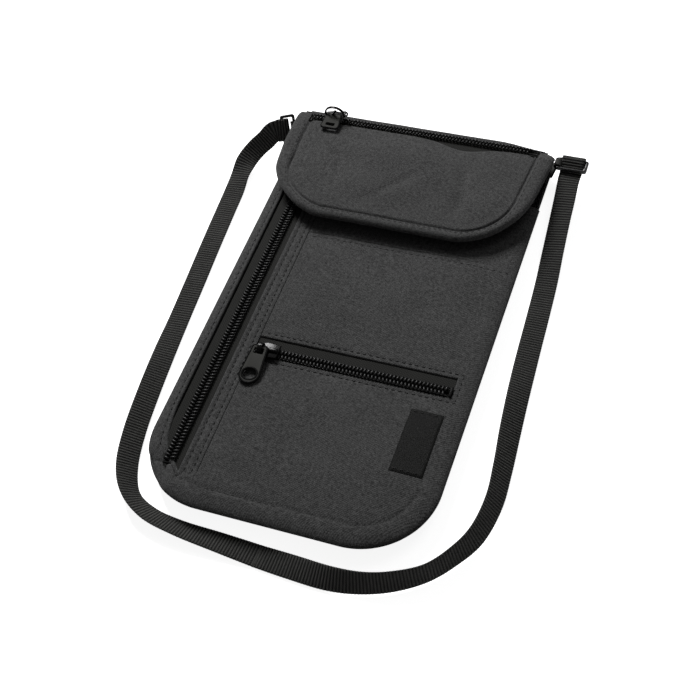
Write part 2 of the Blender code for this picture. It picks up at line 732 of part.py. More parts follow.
def neck_strap():
    """The strap in two runs that meet at the middle of its lower loop."""
    left_run = left_threading() + route_stations(LEFT_ROUTE)
    right_run = route_stations(RIGHT_ROUTE) + right_threading()
    start, across = right_run[0]
    towards = (right_run[1][0] - start).normalized()
    right_run[0] = (start + towards * 2 * GAP, across)
    strap_run("strap_left_run", left_run)
    strap_run("strap_right_run", right_run)


def moving_pieces():
    """The flap, with the zip sewn to its root, turns about an empty; pullers ride on their sliders."""
    hinge = bpy.data.objects.new("flap_hinge", None)
    bpy.context.scene.collection.objects.link(hinge)
    hinge.location = (0, FLAP_HINGE_Y, TOP_TAPE_BASE)
    on_flap = [piece.name for piece in bpy.data.objects if piece.name.startswith("top_zip_")]
    hang(["flap_outer", "flap_lining", "hook_patch", "top_slider", *on_flap], hinge)
    for word in ("side", "front", "top"):
        hang([word + "_puller"], bpy.data.objects[word + "_slider"])


def main():
    clear_scene()
    pouch_layers()
    front_panels()
    side_zip()
    front_zip()
    top_zip()
    flap()
    closure_and_label()
    slider("side_slider", SIDE_ZIP_X, SIDE_SLIDER_Y, FRONT_TAPE_BASE, True)
    round_puller("side_puller", SIDE_ZIP_X, SIDE_SLIDER_Y, FRONT_TAPE_BASE, True)
    slider("front_slider", FRONT_SLIDER_X, FRONT_ZIP_Y, FRONT_TAPE_BASE, False)
    round_puller("front_puller", FRONT_SLIDER_X, FRONT_ZIP_Y, FRONT_TAPE_BASE, False)
    slider("top_slider", TOP_SLIDER_X, TOP_ZIP_Y, TOP_TAPE_BASE, False)
    broad_puller("top_puller", TOP_SLIDER_X, TOP_ZIP_Y, TOP_TAPE_BASE)
    for side, word in ((-1, "left"), (1, "right")):
        strap_ring(word + "_ring", side)
        strap_tab(word + "_tab", side)
    neck_strap()
    moving_pieces()


main()
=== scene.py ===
"""Looks of a flat zipped neck pouch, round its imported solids: cloth, zips, webbing strap and stitching."""

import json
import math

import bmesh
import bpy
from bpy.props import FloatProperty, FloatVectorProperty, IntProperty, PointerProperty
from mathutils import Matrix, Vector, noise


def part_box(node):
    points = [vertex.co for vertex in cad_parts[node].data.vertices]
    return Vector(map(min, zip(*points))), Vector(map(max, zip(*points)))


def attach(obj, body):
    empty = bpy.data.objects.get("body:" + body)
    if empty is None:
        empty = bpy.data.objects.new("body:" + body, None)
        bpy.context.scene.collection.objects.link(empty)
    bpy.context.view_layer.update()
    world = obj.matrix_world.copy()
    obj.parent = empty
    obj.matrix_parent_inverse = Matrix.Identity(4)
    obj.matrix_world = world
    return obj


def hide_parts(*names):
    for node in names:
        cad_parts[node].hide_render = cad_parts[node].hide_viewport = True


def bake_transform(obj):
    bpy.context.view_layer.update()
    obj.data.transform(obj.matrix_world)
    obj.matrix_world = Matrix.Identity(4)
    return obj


bl_info = {
    "name": "Neck Pouch",
    "version": (1, 0, 0),
    "blender": (4, 5, 0),
    "location": "View3D > Sidebar > Neck Pouch",
    "description": "Dresses a zipped neck pouch in cloth, zips, webbing and stitching",
    "category": "Add Mesh",
}

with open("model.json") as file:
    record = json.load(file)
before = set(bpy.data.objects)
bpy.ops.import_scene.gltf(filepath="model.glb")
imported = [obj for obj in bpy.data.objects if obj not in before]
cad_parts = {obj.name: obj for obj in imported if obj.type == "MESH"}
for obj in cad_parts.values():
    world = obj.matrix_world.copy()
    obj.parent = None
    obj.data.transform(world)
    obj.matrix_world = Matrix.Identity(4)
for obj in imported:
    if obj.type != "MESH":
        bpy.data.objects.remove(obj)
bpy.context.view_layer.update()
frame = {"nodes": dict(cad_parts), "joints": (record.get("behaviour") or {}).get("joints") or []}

MM = 0.001
LINING_CELL = 2 * MM

# Places read from the solids
FRONT_LOW, FRONT_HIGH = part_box("front_lower_panel")
UPPER_LOW, UPPER_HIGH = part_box("front_upper_panel")
STRIP_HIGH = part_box("side_strip")[1]
FACING_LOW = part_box("side_zip_facing")[0]
BACK_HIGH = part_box("back_panel")[1]
FLAP_LOW, FLAP_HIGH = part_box("flap_outer")
GUSSET_LOW, GUSSET_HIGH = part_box("top_gusset")
HALF_WIDTH = FRONT_HIGH.x
BOTTOM_Y = FRONT_LOW.y
MOUTH_Y = UPPER_HIGH.y
FRONT_TOP = UPPER_HIGH.z
SIDE_SLOT_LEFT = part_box("side_zip_left_tape")[0].x
SIDE_SLOT_RIGHT = FACING_LOW.x
SIDE_SLOT_END = FACING_LOW.y
FRONT_SLOT_TOP = UPPER_LOW.y
FRONT_SLOT_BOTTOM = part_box("front_zip_lower_tape")[0].y
FRONT_SLOT_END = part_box("front_zip_upper_tape")[1].x
SEAM_X = (UPPER_LOW.x + STRIP_HIGH.x) / 2
JOINTS = {joint["name"]: joint for joint in frame["joints"]}

# Seams, hem and stitch rows of the front, and how its cloth swells
HEM_START_Y = -62 * MM
HEM_FADE = 25 * MM
HEM_INSET = 8.6 * MM
HEM_DENT = (0.9 * MM, 0.32 * MM)
HEM_LINE_Y = 38.5 * MM
SEAM_END_Y = -97 * MM
SEAM_FADE = 7 * MM
FACING_ROWS = (-40.8 * MM, -37.4 * MM)
STITCH_INSET = 2.2 * MM
SWELL_FROM_ZIP = 24 * MM
SWELL_FROM_EDGE = 26 * MM
WIDE_FOLD = 0.45 * MM
CLOSE_FOLD = 0.16 * MM

# The side zip's opening: how its left side bows and its lower end slants
BOW_START_Y = -62 * MM
BOW_RUN = 27 * MM
BOW_GROWTH = 5.2 * MM
BOW_BACK = 0.8 * MM
SLANT_START_Y = -80 * MM
SLANT_RUN = 12.5 * MM
SLANT_LOW = -2.7 * MM
SLANT_HIGH = 3.5 * MM
SLANT_X = -51.2 * MM
SLANT_RATE = 0.653
SLANT_REACH = 6 * MM
WARP_MARGIN = 3 * MM

# The flap's root, and what is cut out of it for the top zip
ROOT_RISE = 1.6 * MM
ROOT_REACH = 16 * MM
ROOT_DIP_X = 21 * MM
ROOT_DIP = (12 * MM, 3.4 * MM)
REAR_SAG = 2.0 * MM
REAR_SAG_X = 36 * MM
REAR_SAG_RUN = 24 * MM
CUT_TOP = 106.2 * MM
CUT_LOW = -56.7 * MM
CUT_HIGH = 55.2 * MM
CUT_CORNER = 4.0 * MM
CUT_FADE = 4 * MM
TAB_DRAW = 0.19
TAB_DRAW_RATE = 0.035

# The flap's cloth. A dent is given by its width and its depth
BAND_BELOW = 0.66
BAND_GAIN = 0.34
BAND_START = 8 * MM
BAND_RUN = 30 * MM
FLAP_SINK = 0.45 * MM
FLAP_ROLL = (2.2 * MM, 1.5 * MM)
FLAP_PUFF = 0.6 * MM
FLAP_GROOVE = (0.55 * MM, 0.95 * MM)
FLAP_SWELL = 0.5 * MM
SWELL_FROM_BAND = 16 * MM
SWELL_FROM_ROOT = 14 * MM
FLAP_DIP = (14 * MM, 0.7 * MM)
FLAP_DIP_Y = 82 * MM
FLAP_DIP_RUN = 17 * MM
# Each crease: x and y of a point on it, its lean and depth, the y where it ends and the side it lies on
FLAP_CREASES = ((29, 70, -0.12, 0.9, 50, 1), (-6, 66, 0.9, 0.6, 84, -1))
CREASE_WIDTH = 4 * MM
CREASE_FADE = 14 * MM
# How the flap narrows down its two sides: y in millimetres and share of its width
NARROW_REACH = 45 * MM
FLAP_NARROWING = {
    "left": ((43.5, 0.88), (52, 0.91), (61, 0.955), (68, 0.98), (85, 1.006), (107, 1.01)),
    "right": ((43.5, 0.88), (57, 0.90), (68, 0.928), (80, 0.96), (97, 0.99), (107, 0.992)),
}
# Which way each ring points from its tab
RING_AWAY = {"left": Vector((-0.842, -0.529, 0.106)), "right": Vector((1, 0, 0))}

# The strap's lie: x, y, z of its middle in millimetres, and its roll in degrees
LEFT_ROUTE = [
    (-77.6, 91.2, 8.9, 48),
    (-81.4, 86.8, 6.4, 44),
    (-84.2, 80.0, 4.2, 24),
    (-84.9, 72.4, 2.2, -8),
    (-84.4, 62.0, 0.7, 0),
    (-83.6, 48.0, 0.6, 0),
    (-82.2, 26.0, 0.6, 0),
    (-80.6, 4.0, 0.6, 0),
    (-79.2, -17.0, 0.6, 0),
    (-77.5, -36.0, 1.7, 12),
    (-75.2, -57.0, 2.7, 25),
    (-72.4, -78.0, 3.0, 29),
    (-68.0, -94.6, 3.6, 37),
    (-60.8, -106.2, 4.2, 47),
    (-50.0, -112.4, 3.5, 36),
    (-36.0, -115.0, 2.9, 28),
    (-18.0, -116.0, 1.8, 14),
    (0.0, -117.0, 0.7, 0),
]
RIGHT_ROUTE = [
    (0.0, -117.0, 0.7, 0),
    (14.0, -118.2, 2.0, -16),
    (30.0, -119.4, 3.7, -38),
    (43.0, -118.2, 4.6, -56),
    (54.6, -114.4, 5.0, -65),
    (65.6, -107.8, 5.2, -73),
    (73.6, -98.2, 5.1, -69),
    (79.6, -86.6, 4.8, -58),
    (82.0, -71.0, 4.3, -50),
    (81.2, -55.0, 3.9, -43),
    (79.4, -37.0, 3.1, -32),
    (77.8, -18.0, 2.4, -22),
    (76.4, 3.0, 1.2, -7),
    (75.4, 23.0, 0.8, -2),
    (74.4, 42.0, 1.0, 2),
    (73.2, 59.0, 3.0, 10),
    (72.3, 75.0, 6.2, 12),
    (71.8, 87.0, 9.2, 6),
]


def length_setting(name, description, millimetres):
    default = millimetres * MM
    return FloatProperty(name=name, description=description, default=default, unit="LENGTH", precision=5)


def colour_setting(name, description, value):
    return FloatVectorProperty(
        name=name, description=description, default=value, size=3, subtype="COLOR", max=1.0
    )


class PouchSizes(bpy.types.PropertyGroup):
    """Sizes of the sewn and woven detail."""

    corner_radius: length_setting("Corner radius", "Round lower corners of the pouch", 32)
    flap_radius: length_setting("Flap radius", "Round lower corners of the flap", 30)
    cell: length_setting("Cloth cell", "Spacing of the mesh of the outer cloth", 0.85)
    cloth_thickness: length_setting("Cloth thickness", "Thickness of a panel", 0.9)
    crown: length_setting("Crown", "How far the front swells between its seams", 1.0)
    edge_roll: length_setting("Edge roll", "Drop of the rolled outer edge", 2.6)
    edge_width: length_setting("Edge width", "Width over which the outer edge rolls down", 7.0)
    fold_roll: length_setting("Fold roll", "Radius of a folded edge at a zip", 0.8)
    flap_band: length_setting("Flap band", "Turned edge of the flap, outside its stitching", 8.0)
    stitch_pitch: length_setting("Stitch pitch", "Distance from stitch to stitch", 2.9)
    stitch_length: length_setting("Stitch length", "Length of one stitch", 1.8)
    stitch_width: length_setting("Stitch width", "Thickness of the thread", 0.42)
    tooth_pitch: length_setting("Tooth pitch", "Distance from tooth to tooth on one side of a zip", 1.62)
    strap_width: length_setting("Strap width", "Width of the webbing", 10)
    strap_thickness: length_setting("Strap thickness", "Thickness of the webbing", 1.0)
    rib_pitch: length_setting("Rib pitch", "Distance from rib to rib along the webbing", 1.3)
    rib_height: length_setting("Rib height", "Rise of the webbing's ribs", 0.28)
    rib_steps: IntProperty(name="Rib steps", description="Rings of the mesh for each rib", default=6, min=3)


class PouchColours(bpy.types.PropertyGroup):
    """Colours of the cloth, webbing and hardware."""

    cloth_dark: colour_setting("Cloth, dark yarn", "Darker yarn of the cloth", (0.029, 0.029, 0.029))
    cloth_light: colour_setting("Cloth, light yarn", "Lighter yarn of the cloth", (0.086, 0.086, 0.086))
    lining: colour_setting("Lining", "Inside cloth", (0.020, 0.020, 0.021))
    tape: colour_setting("Zip tape", "Woven tape of the zips", (0.0168, 0.0168, 0.0157))
    coil: colour_setting("Coil", "Nylon teeth", (0.012, 0.012, 0.012))
    enamel: colour_setting("Slider enamel", "Painted sliders and stops", (0.008, 0.008, 0.008))
    puller: colour_setting("Puller", "Grey of the pull tabs", (0.052, 0.052, 0.049))
    webbing: colour_setting("Webbing", "Raised ribs of the strap and tabs", (0.053, 0.053, 0.050))
    thread: colour_setting("Thread", "Stitching", (0.026, 0.026, 0.026))
    label: colour_setting("Label", "Bare woven label", (0.0056, 0.0056, 0.0053))
    plastic: colour_setting("Plastic", "Rings", (0.012, 0.012, 0.012))
    floor: colour_setting("Floor", "Pale floor", (0.92, 0.92, 0.92))


def sizes():
    return bpy.context.scene.pouch_sizes


def colours():
    return bpy.context.scene.pouch_colours


def once(maker):
    """What a maker gives for some values is made on its first use and then shared."""
    made = {}

    def get(*values):
        if values not in made:
            made[values] = maker(*values)
        return made[values]

    return get


# Shader helpers


def add_node(tree, kind, **settings):
    made = tree.nodes.new(kind)
    for key, value in settings.items():
        setattr(made, key, value)
    return made


def feed(tree, socket, value):
    """Link a socket to another, or set it to a plain value."""
    if isinstance(value, bpy.types.NodeSocket):
        tree.links.new(value, socket)
    else:
        socket.default_value = value


def maths(tree, operation, first, second=0.0, third=0.0, clamp=False):
    made = add_node(tree, "ShaderNodeMath", operation=operation, use_clamp=clamp)
    for socket, value in zip(made.inputs, (first, second, third)):
        feed(tree, socket, value)
    return made.outputs[0]


def stretched_noise(tree, vector, scale, detail=2.0, roughness=0.5):
    """Noise with its own scale along each axis."""
    mapping = add_node(tree, "ShaderNodeMapping")
    feed(tree, mapping.inputs["Vector"], vector)
    mapping.inputs["Scale"].default_value = scale
    made = add_node(tree, "ShaderNodeTexNoise")
    made.inputs["Scale"].default_value = 1.0
    made.inputs["Detail"].default_value = detail
    made.inputs["Roughness"].default_value = roughness
    feed(tree, made.inputs["Vector"], mapping.outputs["Vector"])
    return made.outputs["Fac"]


def mixed(tree, share, first, second):
    made = add_node(tree, "ShaderNodeMix", data_type="RGBA")
    feed(tree, made.inputs["Factor"], share)
    feed(tree, made.inputs["A"], first)
    feed(tree, made.inputs["B"], second)
    return made.outputs["Result"]


def uneven(tree, value):
    """A noise moved to lie round 0."""
    return maths(tree, "SUBTRACT", value, 0.5)


def new_group(name, inputs, outputs):
    """An empty group with sockets of the given kinds, and the sockets of its two end nodes."""
    tree = bpy.data.node_groups.new(name, "ShaderNodeTree")
    for sockets, in_out in ((inputs, "INPUT"), (outputs, "OUTPUT")):
        for label, kind in sockets.items():
            tree.interface.new_socket(label, in_out=in_out, socket_type="NodeSocket" + kind)
    return tree, add_node(tree, "NodeGroupInput").outputs, add_node(tree, "NodeGroupOutput").inputs


@once
def weave_group():
    """Plain weave: the height of crossing threads, with loose fibres on them."""
    inputs = {"Vector": "Vector", "Pitch": "Float", "Fuzz": "Float"}
    tree, given, out = new_group("Weave", inputs, {"Height": "Float"})
    axes = add_node(tree, "ShaderNodeSeparateXYZ")
    feed(tree, axes.inputs[0], given["Vector"])
    turn = maths(tree, "DIVIDE", math.pi, given["Pitch"])
    along = maths(tree, "MULTIPLY", maths(tree, "ADD", axes.outputs["X"], axes.outputs["Z"]), turn)
    cross = maths(tree, "MULTIPLY", maths(tree, "SUBTRACT", axes.outputs["Y"], axes.outputs["Z"]), turn)
    over = maths(tree, "MULTIPLY", maths(tree, "SINE", along), maths(tree, "SINE", cross))
    fibres = stretched_noise(tree, given["Vector"], (2600, 2600, 2600), detail=3)
    fuzz = maths(tree, "MULTIPLY", uneven(tree, fibres), given["Fuzz"])
    feed(tree, out["Height"], maths(tree, "MULTIPLY_ADD", over, 0.5, maths(tree, "ADD", fuzz, 0.5)))
    return tree


@once
def heather_group():
    """Two yarns mixed at random, in flecks along both directions of the cloth."""
    inputs = {"Vector": "Vector", "Dark": "Color", "Light": "Color"}
    tree, given, out = new_group("Heather", inputs, {"Color": "Color", "Share": "Float"})
    weft = stretched_noise(tree, given["Vector"], (760, 2100, 2100), detail=2)
    warp = stretched_noise(tree, given["Vector"], (2200, 620, 2200), detail=2)
    clouds = stretched_noise(tree, given["Vector"], (60, 90, 60), detail=3)
    share = maths(tree, "MULTIPLY_ADD", uneven(tree, weft), 2.0, 0.47)
    share = maths(tree, "MULTIPLY_ADD", uneven(tree, warp), 1.5, share)
    share = maths(tree, "MULTIPLY_ADD", uneven(tree, clouds), 0.3, share, clamp=True)
    feed(tree, out["Color"], mixed(tree, share, given["Dark"], given["Light"]))
    feed(tree, out["Share"], share)
    return tree


@once
def handling_group():
    """Slow unevenness of tone from handling, as a factor round 1, and a few pale specks of lint."""
    inputs = {"Vector": "Vector", "Color": "Color", "Amount": "Float"}
    tree, given, out = new_group("Handling", inputs, {"Color": "Color"})
    slow = stretched_noise(tree, given["Vector"], (38, 38, 38), detail=4, roughness=0.6)
    specks = stretched_noise(tree, given["Vector"], (900, 1300, 1100), detail=1)
    lint = maths(tree, "MULTIPLY", maths(tree, "SUBTRACT", specks, 0.74), 8.0, clamp=True)
    tone = maths(tree, "MULTIPLY_ADD", uneven(tree, slow), given["Amount"], 1.0)
    scale = add_node(tree, "ShaderNodeVectorMath", operation="SCALE")
    feed(tree, scale.inputs[0], given["Color"])
    feed(tree, scale.inputs["Scale"], tone)
    pale = mixed(tree, maths(tree, "MULTIPLY", lint, 0.35), scale.outputs[0], (0.16, 0.16, 0.155, 1.0))
    feed(tree, out["Color"], pale)
    return tree


def place_group(tree, group, **values):
    """The outputs of a group that is placed in a material with its own values."""
    made = add_node(tree, "ShaderNodeGroup", node_tree=group)
    for label, value in values.items():
        feed(tree, made.inputs[label], value)
    return made.outputs


def new_material(name, roughness, sheen=0.0, specular=0.5):
    """A material with its plain values on the shader, its tree, shader and Object coordinates."""
    made = bpy.data.materials.new(name)
    made.use_nodes = True
    tree = made.node_tree
    shader = tree.nodes["Principled BSDF"]
    shader.inputs["Roughness"].default_value = roughness
    shader.inputs["Specular IOR Level"].default_value = specular
    shader.inputs["Sheen Weight"].default_value = sheen
    shader.inputs["Sheen Roughness"].default_value = 0.45
    place = add_node(tree, "ShaderNodeTexCoord").outputs["Object"]
    return made, tree, shader, place


def add_bump(tree, shader, height, distance, strength=1.0):
    bump = add_node(tree, "ShaderNodeBump")
    bump.inputs["Distance"].default_value = distance
    bump.inputs["Strength"].default_value = strength
    feed(tree, bump.inputs["Height"], height)
    feed(tree, shader.inputs["Normal"], bump.outputs["Normal"])


def opaque(colour, factor=1.0):
    return (*(factor * part for part in colour), 1.0)


@once
def heather_cloth():
    """Charcoal heathered polyester with a plain weave."""
    made, tree, shader, place = new_material("Heather cloth", 0.9, sheen=0.1, specular=0.12)
    yarn = place_group(
        tree,
        heather_group(),
        Vector=place,
        Dark=opaque(colours().cloth_dark),
        Light=opaque(colours().cloth_light),
    )
    worn = place_group(tree, handling_group(), Vector=place, Color=yarn["Color"], Amount=0.2)
    feed(tree, shader.inputs["Base Color"], worn["Color"])
    weave = place_group(tree, weave_group(), Vector=place, Pitch=0.55 * MM, Fuzz=0.9)
    height = maths(tree, "MULTIPLY_ADD", yarn["Share"], 0.5, weave["Height"])
    add_bump(tree, shader, height, 0.12 * MM)
    return made


@once
def plain_cloth(name, pitch, fuzz, roughness):
    """A dark one-colour cloth: lining, zip tape or label."""
    made, tree, shader, place = new_material(name, roughness, specular=0.12)
    base = {"Lining": colours().lining, "Zip tape": colours().tape, "Label": colours().label}[name]
    weave = place_group(tree, weave_group(), Vector=place, Pitch=pitch, Fuzz=fuzz)
    shaded = mixed(tree, weave["Height"], opaque(base, 0.6), opaque(base, 1.4))
    worn = place_group(tree, handling_group(), Vector=place, Color=shaded, Amount=0.3)
    feed(tree, shader.inputs["Base Color"], worn["Color"])
    add_bump(tree, shader, weave["Height"], 0.1 * MM)
    return made


@once
def webbing():
    """Ribbed webbing, with its weave laid along the strap by an attribute of the mesh; the gaps between ribs
    and threads are painted darker, partly its own tone and partly painted shade.
    """
    made, tree, shader, place = new_material("Webbing", 0.75, specular=0.2)
    lay = add_node(tree, "ShaderNodeAttribute", attribute_name="lay").outputs["Vector"]
    weave = place_group(tree, weave_group(), Vector=lay, Pitch=0.5 * MM, Fuzz=0.9)
    axes = add_node(tree, "ShaderNodeSeparateXYZ")
    feed(tree, axes.inputs[0], lay)
    # Rib tops lighter and the gaps between ribs and threads darker: partly the webbing's own tone, partly
    # painted shade.
    rib = maths(tree, "MULTIPLY_ADD", axes.outputs["Z"], 0.5, maths(tree, "MULTIPLY", weave["Height"], 0.5))
    rib = maths(tree, "ADD", rib, 0.18, clamp=True)
    base = colours().webbing
    rib_tone_and_shade = mixed(tree, rib, opaque(base, 0.1), opaque(base, 1.6))
    worn = place_group(tree, handling_group(), Vector=place, Color=rib_tone_and_shade, Amount=0.5)
    feed(tree, shader.inputs["Base Color"], worn["Color"])
    add_bump(tree, shader, weave["Height"], 0.08 * MM)
    return made


@once
def hard_finish(name, roughness, specular, grain):
    """Enamel, nylon or moulded plastic: faint mottling in tone and roughness."""
    made, tree, shader, place = new_material(name, roughness, specular=specular)
    base = {
        "Nylon coil": colours().coil,
        "Slider enamel": colours().enamel,
        "Rim enamel": colours().enamel,
        "Puller enamel": colours().puller,
        "Moulded plastic": colours().plastic,
    }[name]
    worn = place_group(tree, handling_group(), Vector=place, Color=opaque(base), Amount=0.5)
    feed(tree, shader.inputs["Base Color"], worn["Color"])
    fine = stretched_noise(tree, place, (1800, 1800, 1800), detail=2)
    feed(tree, shader.inputs["Roughness"], maths(tree, "MULTIPLY_ADD", fine, 0.25, roughness - 0.12))
    add_bump(tree, shader, fine, grain)
    return made


def lining_cloth():
    return plain_cloth("Lining", 0.35 * MM, 0.5, 0.7)


def rim_enamel():
    return hard_finish("Rim enamel", 0.4, 0.04, 0.005 * MM)


def slider_enamel():
    return hard_finish("Slider enamel", 0.2, 0.11, 0.003 * MM)


@once
def sewing_thread():
    made, tree, shader, place = new_material("Sewing thread", 0.7, specular=0.2)
    twist = stretched_noise(tree, place, (3200, 3200, 3200), detail=2)
    base = colours().thread
    feed(tree, shader.inputs["Base Color"], mixed(tree, twist, opaque(base, 0.6), opaque(base, 1.5)))
    add_bump(tree, shader, twist, 0.05 * MM)
    return made


@once
def closure_tape():
    """Hook and loop tape: dense fuzz on a black ground."""
    made, tree, shader, place = new_material("Closure tape", 0.95, specular=0.1)
    fuzz = stretched_noise(tree, place, (1500, 1500, 1500), detail=4, roughness=0.7)
    base = colours().tape
    feed(tree, shader.inputs["Base Color"], mixed(tree, fuzz, opaque(base, 0.4), opaque(base, 2.2)))
    add_bump(tree, shader, fuzz, 0.4 * MM)
    return made


# Mesh helpers


def piece(name, bm, finishes, body, nodes=(), sharp=None):
    """A finished piece from a bmesh: at the origin, in its finishes, riding on its body."""
    mesh = bpy.data.meshes.new(name)
    bm.edges.index_update()
    rims = [edge.index for edge in bm.edges if edge.is_boundary]
    bm.to_mesh(mesh)
    bm.free()
    for finish in finishes if isinstance(finishes, list) else [finishes]:
        mesh.materials.append(finish)
    mesh.shade_smooth()
    for index in rims:
        mesh.edges[index].use_edge_sharp = True
    if sharp:
        mesh.set_sharp_from_angle(angle=math.radians(sharp))
    made = bpy.data.objects.new(name, mesh)
    bpy.context.scene.collection.objects.link(made)
    if nodes:
        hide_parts(*nodes)
    if body:
        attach(made, body)
    return made


def thicken(made, thickness, offset=-1.0):
    """A live Solidify that gives a sheet its thickness, below its face or to both sides of it."""
    solid = made.modifiers.new("Thickness", "SOLIDIFY")
    solid.thickness = thickness
    solid.offset = offset
    solid.use_even_offset = True


def ease(value):
    """Smooth step from 0 to 1."""
    share = min(1.0, max(0.0, value))
    return share * share * (3 - 2 * share)


def roll(depth, radius):
    """Drop of a rolled edge at a depth in from it."""
    if depth >= radius:
        return 0.0
    over = radius - max(0.0, depth)
    return radius - math.sqrt(max(0.0, radius**2 - over**2))


def dent(distance, width, depth):
    """Depth of a soft groove at a distance from its middle."""
    return depth * math.exp(-((distance / width) ** 2))


def tongue_reach(y, half_width, bottom, radius):
    """Half the width, at y, of an outline with a straight top and two round lower corners."""
    over = max(0.0, bottom + radius - y)
    return half_width - radius + math.sqrt(max(0.0, radius**2 - over**2))


def tongue_depth(x, y, half_width, bottom, radius):
    """Distance in from that outline's sides and lower edge."""
    over_x = abs(x) - (half_width - radius)
    over_y = bottom + radius - y
    if over_x > 0 and over_y > 0:
        return radius - math.hypot(over_x, over_y)
    return min(half_width - abs(x), y - bottom)


def tongue_grid(half_width, top, bottom, radius, cell):
    """A grid of quads laid in that outline, closer together at its edge."""
    corner_rows = max(8, round(math.pi / 2 * radius / cell))
    straight_rows = max(2, round((top - bottom - radius) / cell))
    rows = [bottom + radius * (1 - math.cos(math.pi / 2 * i / corner_rows)) for i in range(corner_rows)]
    rest = top - bottom - radius
    rows += [bottom + radius + rest * i / straight_rows for i in range(straight_rows + 1)]
    columns = round(2.6 * half_width / cell)
    bm = bmesh.new()
    bmesh.ops.create_grid(bm, x_segments=columns, y_segments=len(rows) - 1, size=0.5)
    for vert in bm.verts:
        y = rows[round((vert.co.y + 0.5) * (len(rows) - 1))]
        spread = math.sin(math.pi * vert.co.x)
        vert.co = (spread * tongue_reach(y, half_width, bottom, radius), y, 0.0)
    return bm


def slice_at(bm, axis, place, keep=0):
    """Cut a flat mesh along constant x or y. keep is the side that stays, -1 or 1, or 0 for both."""
    normal = Vector((axis == "x", axis == "y", 0))
    bmesh.ops.bisect_plane(
        bm,
        geom=bm.verts[:] + bm.edges[:] + bm.faces[:],
        dist=1e-7,
        plane_co=normal * place,
        plane_no=normal,
        clear_outer=keep < 0,
        clear_inner=keep > 0,
    )


def drop_faces(bm, test):
    gone = [face for face in bm.faces if test(*face.calc_center_median().xy)]
    bmesh.ops.delete(bm, geom=gone, context="FACES")


def score(bm, axis, place, side):
    """Extra edge lines beside a fold, so that it can roll over and be stitched."""
    for offset in (0.15, 0.4, 0.8, 1.6, 2.2, 2.8):
        slice_at(bm, axis, place + side * offset * MM)


def raise_to(bm, height):
    for vert in bm.verts:
        vert.co.z = height(vert.co.x, vert.co.y)


def move_flat(bm, moved):
    for vert in bm.verts:
        vert.co.xy = moved(*vert.co.xy)


def face_along(bm, direction):
    """Turn an open sheet so that its faces point along a direction."""
    bmesh.ops.recalc_face_normals(bm, faces=bm.faces)
    if bm.faces[:][0].normal.dot(direction) < 0:
        bmesh.ops.reverse_faces(bm, faces=bm.faces)


def flat_grid(columns, rows):
    """A grid, and each of its vertices with its share of the way along x and along y."""
    bm = bmesh.new()
    bmesh.ops.create_grid(bm, x_segments=columns, y_segments=rows, size=0.5)
    return bm, [(vert, vert.co.x + 0.5, vert.co.y + 0.5) for vert in bm.verts]


def round_edges(bm, edges, width, segments):
    return bmesh.ops.bevel(
        bm,
        geom=edges,
        offset=width,
        offset_type="OFFSET",
        segments=segments,
        profile=0.5,
        affect="EDGES",
        material=-1,
        clamp_overlap=True,
    )


def rounded_box(bm, low, high, bevel, segments=2):
    """A box from its corners, with rounded edges."""
    centre = (low + high) / 2
    place = Matrix.Translation(centre) @ Matrix.Diagonal((*(high - low), 1.0))
    cube = bmesh.ops.create_cube(bm, size=1.0, matrix=place)
    round_edges(bm, list({edge for vert in cube["verts"] for edge in vert.link_edges}), bevel, segments)


def rounded_plate(bm, loops, low, high, bevel, place=None):
    """A flat plate from an outline and its holes, as loops of points, with rounded edges."""
    edges = []
    for loop in loops:
        verts = [bm.verts.new((x, y, low)) for x, y in loop]
        edges += [bm.edges.new((verts[i - 1], verts[i])) for i in range(len(verts))]
    filled = bmesh.ops.triangle_fill(bm, use_beauty=True, use_dissolve=False, edges=edges)
    faces = [item for item in filled["geom"] if isinstance(item, bmesh.types.BMFace)]
    raised = bmesh.ops.extrude_face_region(bm, geom=faces, use_keep_orig=True)["geom"]
    top = [item for item in raised if isinstance(item, bmesh.types.BMVert)]
    bmesh.ops.translate(bm, verts=top, vec=(0, 0, high - low))
    verts = {vert for edge in edges for vert in edge.verts} | set(top)
    body = {face for vert in verts for face in vert.link_faces}
    bmesh.ops.recalc_face_normals(bm, faces=list(body))
    rims = {edge for face in body for edge in face.edges if edge.calc_face_angle(0.0) > math.radians(50)}
    flat = [edge for edge in rims if abs(edge.verts[0].co.z - edge.verts[1].co.z) < 1e-7]
    made = round_edges(bm, flat, bevel, 3)
    if place:
        every = {vert for face in made["faces"] for vert in face.verts}
        every |= {vert for face in body if face.is_valid for vert in face.verts}
        bmesh.ops.transform(bm, matrix=place, verts=list(every))


def bar_section(half_width, half_height, radius):
    """The points of a rectangle with round corners about the origin."""
    return rounded_rectangle((-half_width, -half_height), (half_width, half_height), radius)


def rounded_rectangle(low, high, radius):
    """The points of a rectangle with round corners, anticlockwise from its lower right."""
    left, right = low[0] + radius, high[0] - radius
    bottom, top = low[1] + radius, high[1] - radius
    centres = ((right, bottom, 270), (right, top, 0), (left, top, 90), (left, bottom, 180))
    return [point for x, y, start in centres for point in arc((x, y), radius, start, start + 90, 5)]


def sweep(bm, stations, section, closed=False):
    """A skin through one section at each station: its point, its sideways and its upward direction."""
    loops = []
    for point, side, up in stations:
        verts = [bm.verts.new(point + side * x + up * y) for x, y in section]
        loops.append([bm.edges.new((verts[k - 1], verts[k])) for k in range(len(verts))])
    following = loops[1:] + loops[:1] if closed else loops[1:]
    for first, second in zip(loops, following):
        bmesh.ops.bridge_loops(bm, edges=first + second)
    if not closed:
        for loop in (loops[0], loops[-1]):
            bmesh.ops.edgeloop_fill(bm, edges=loop)


def ring_frame(word):
    """From a ring's own a, b, c to the world: a away from its tab, b along its bar, c out of its face."""
    joint = JOINTS[word + "_ring_swing"]
    b = Vector(joint["axis"]).normalized() * (1 if word == "left" else -1)
    away = RING_AWAY[word]
    a = (away - b * away.dot(b)).normalized()
    return Matrix.Translation(joint["pos_m"]) @ Matrix((a, b, a.cross(b))).transposed().to_4x4()


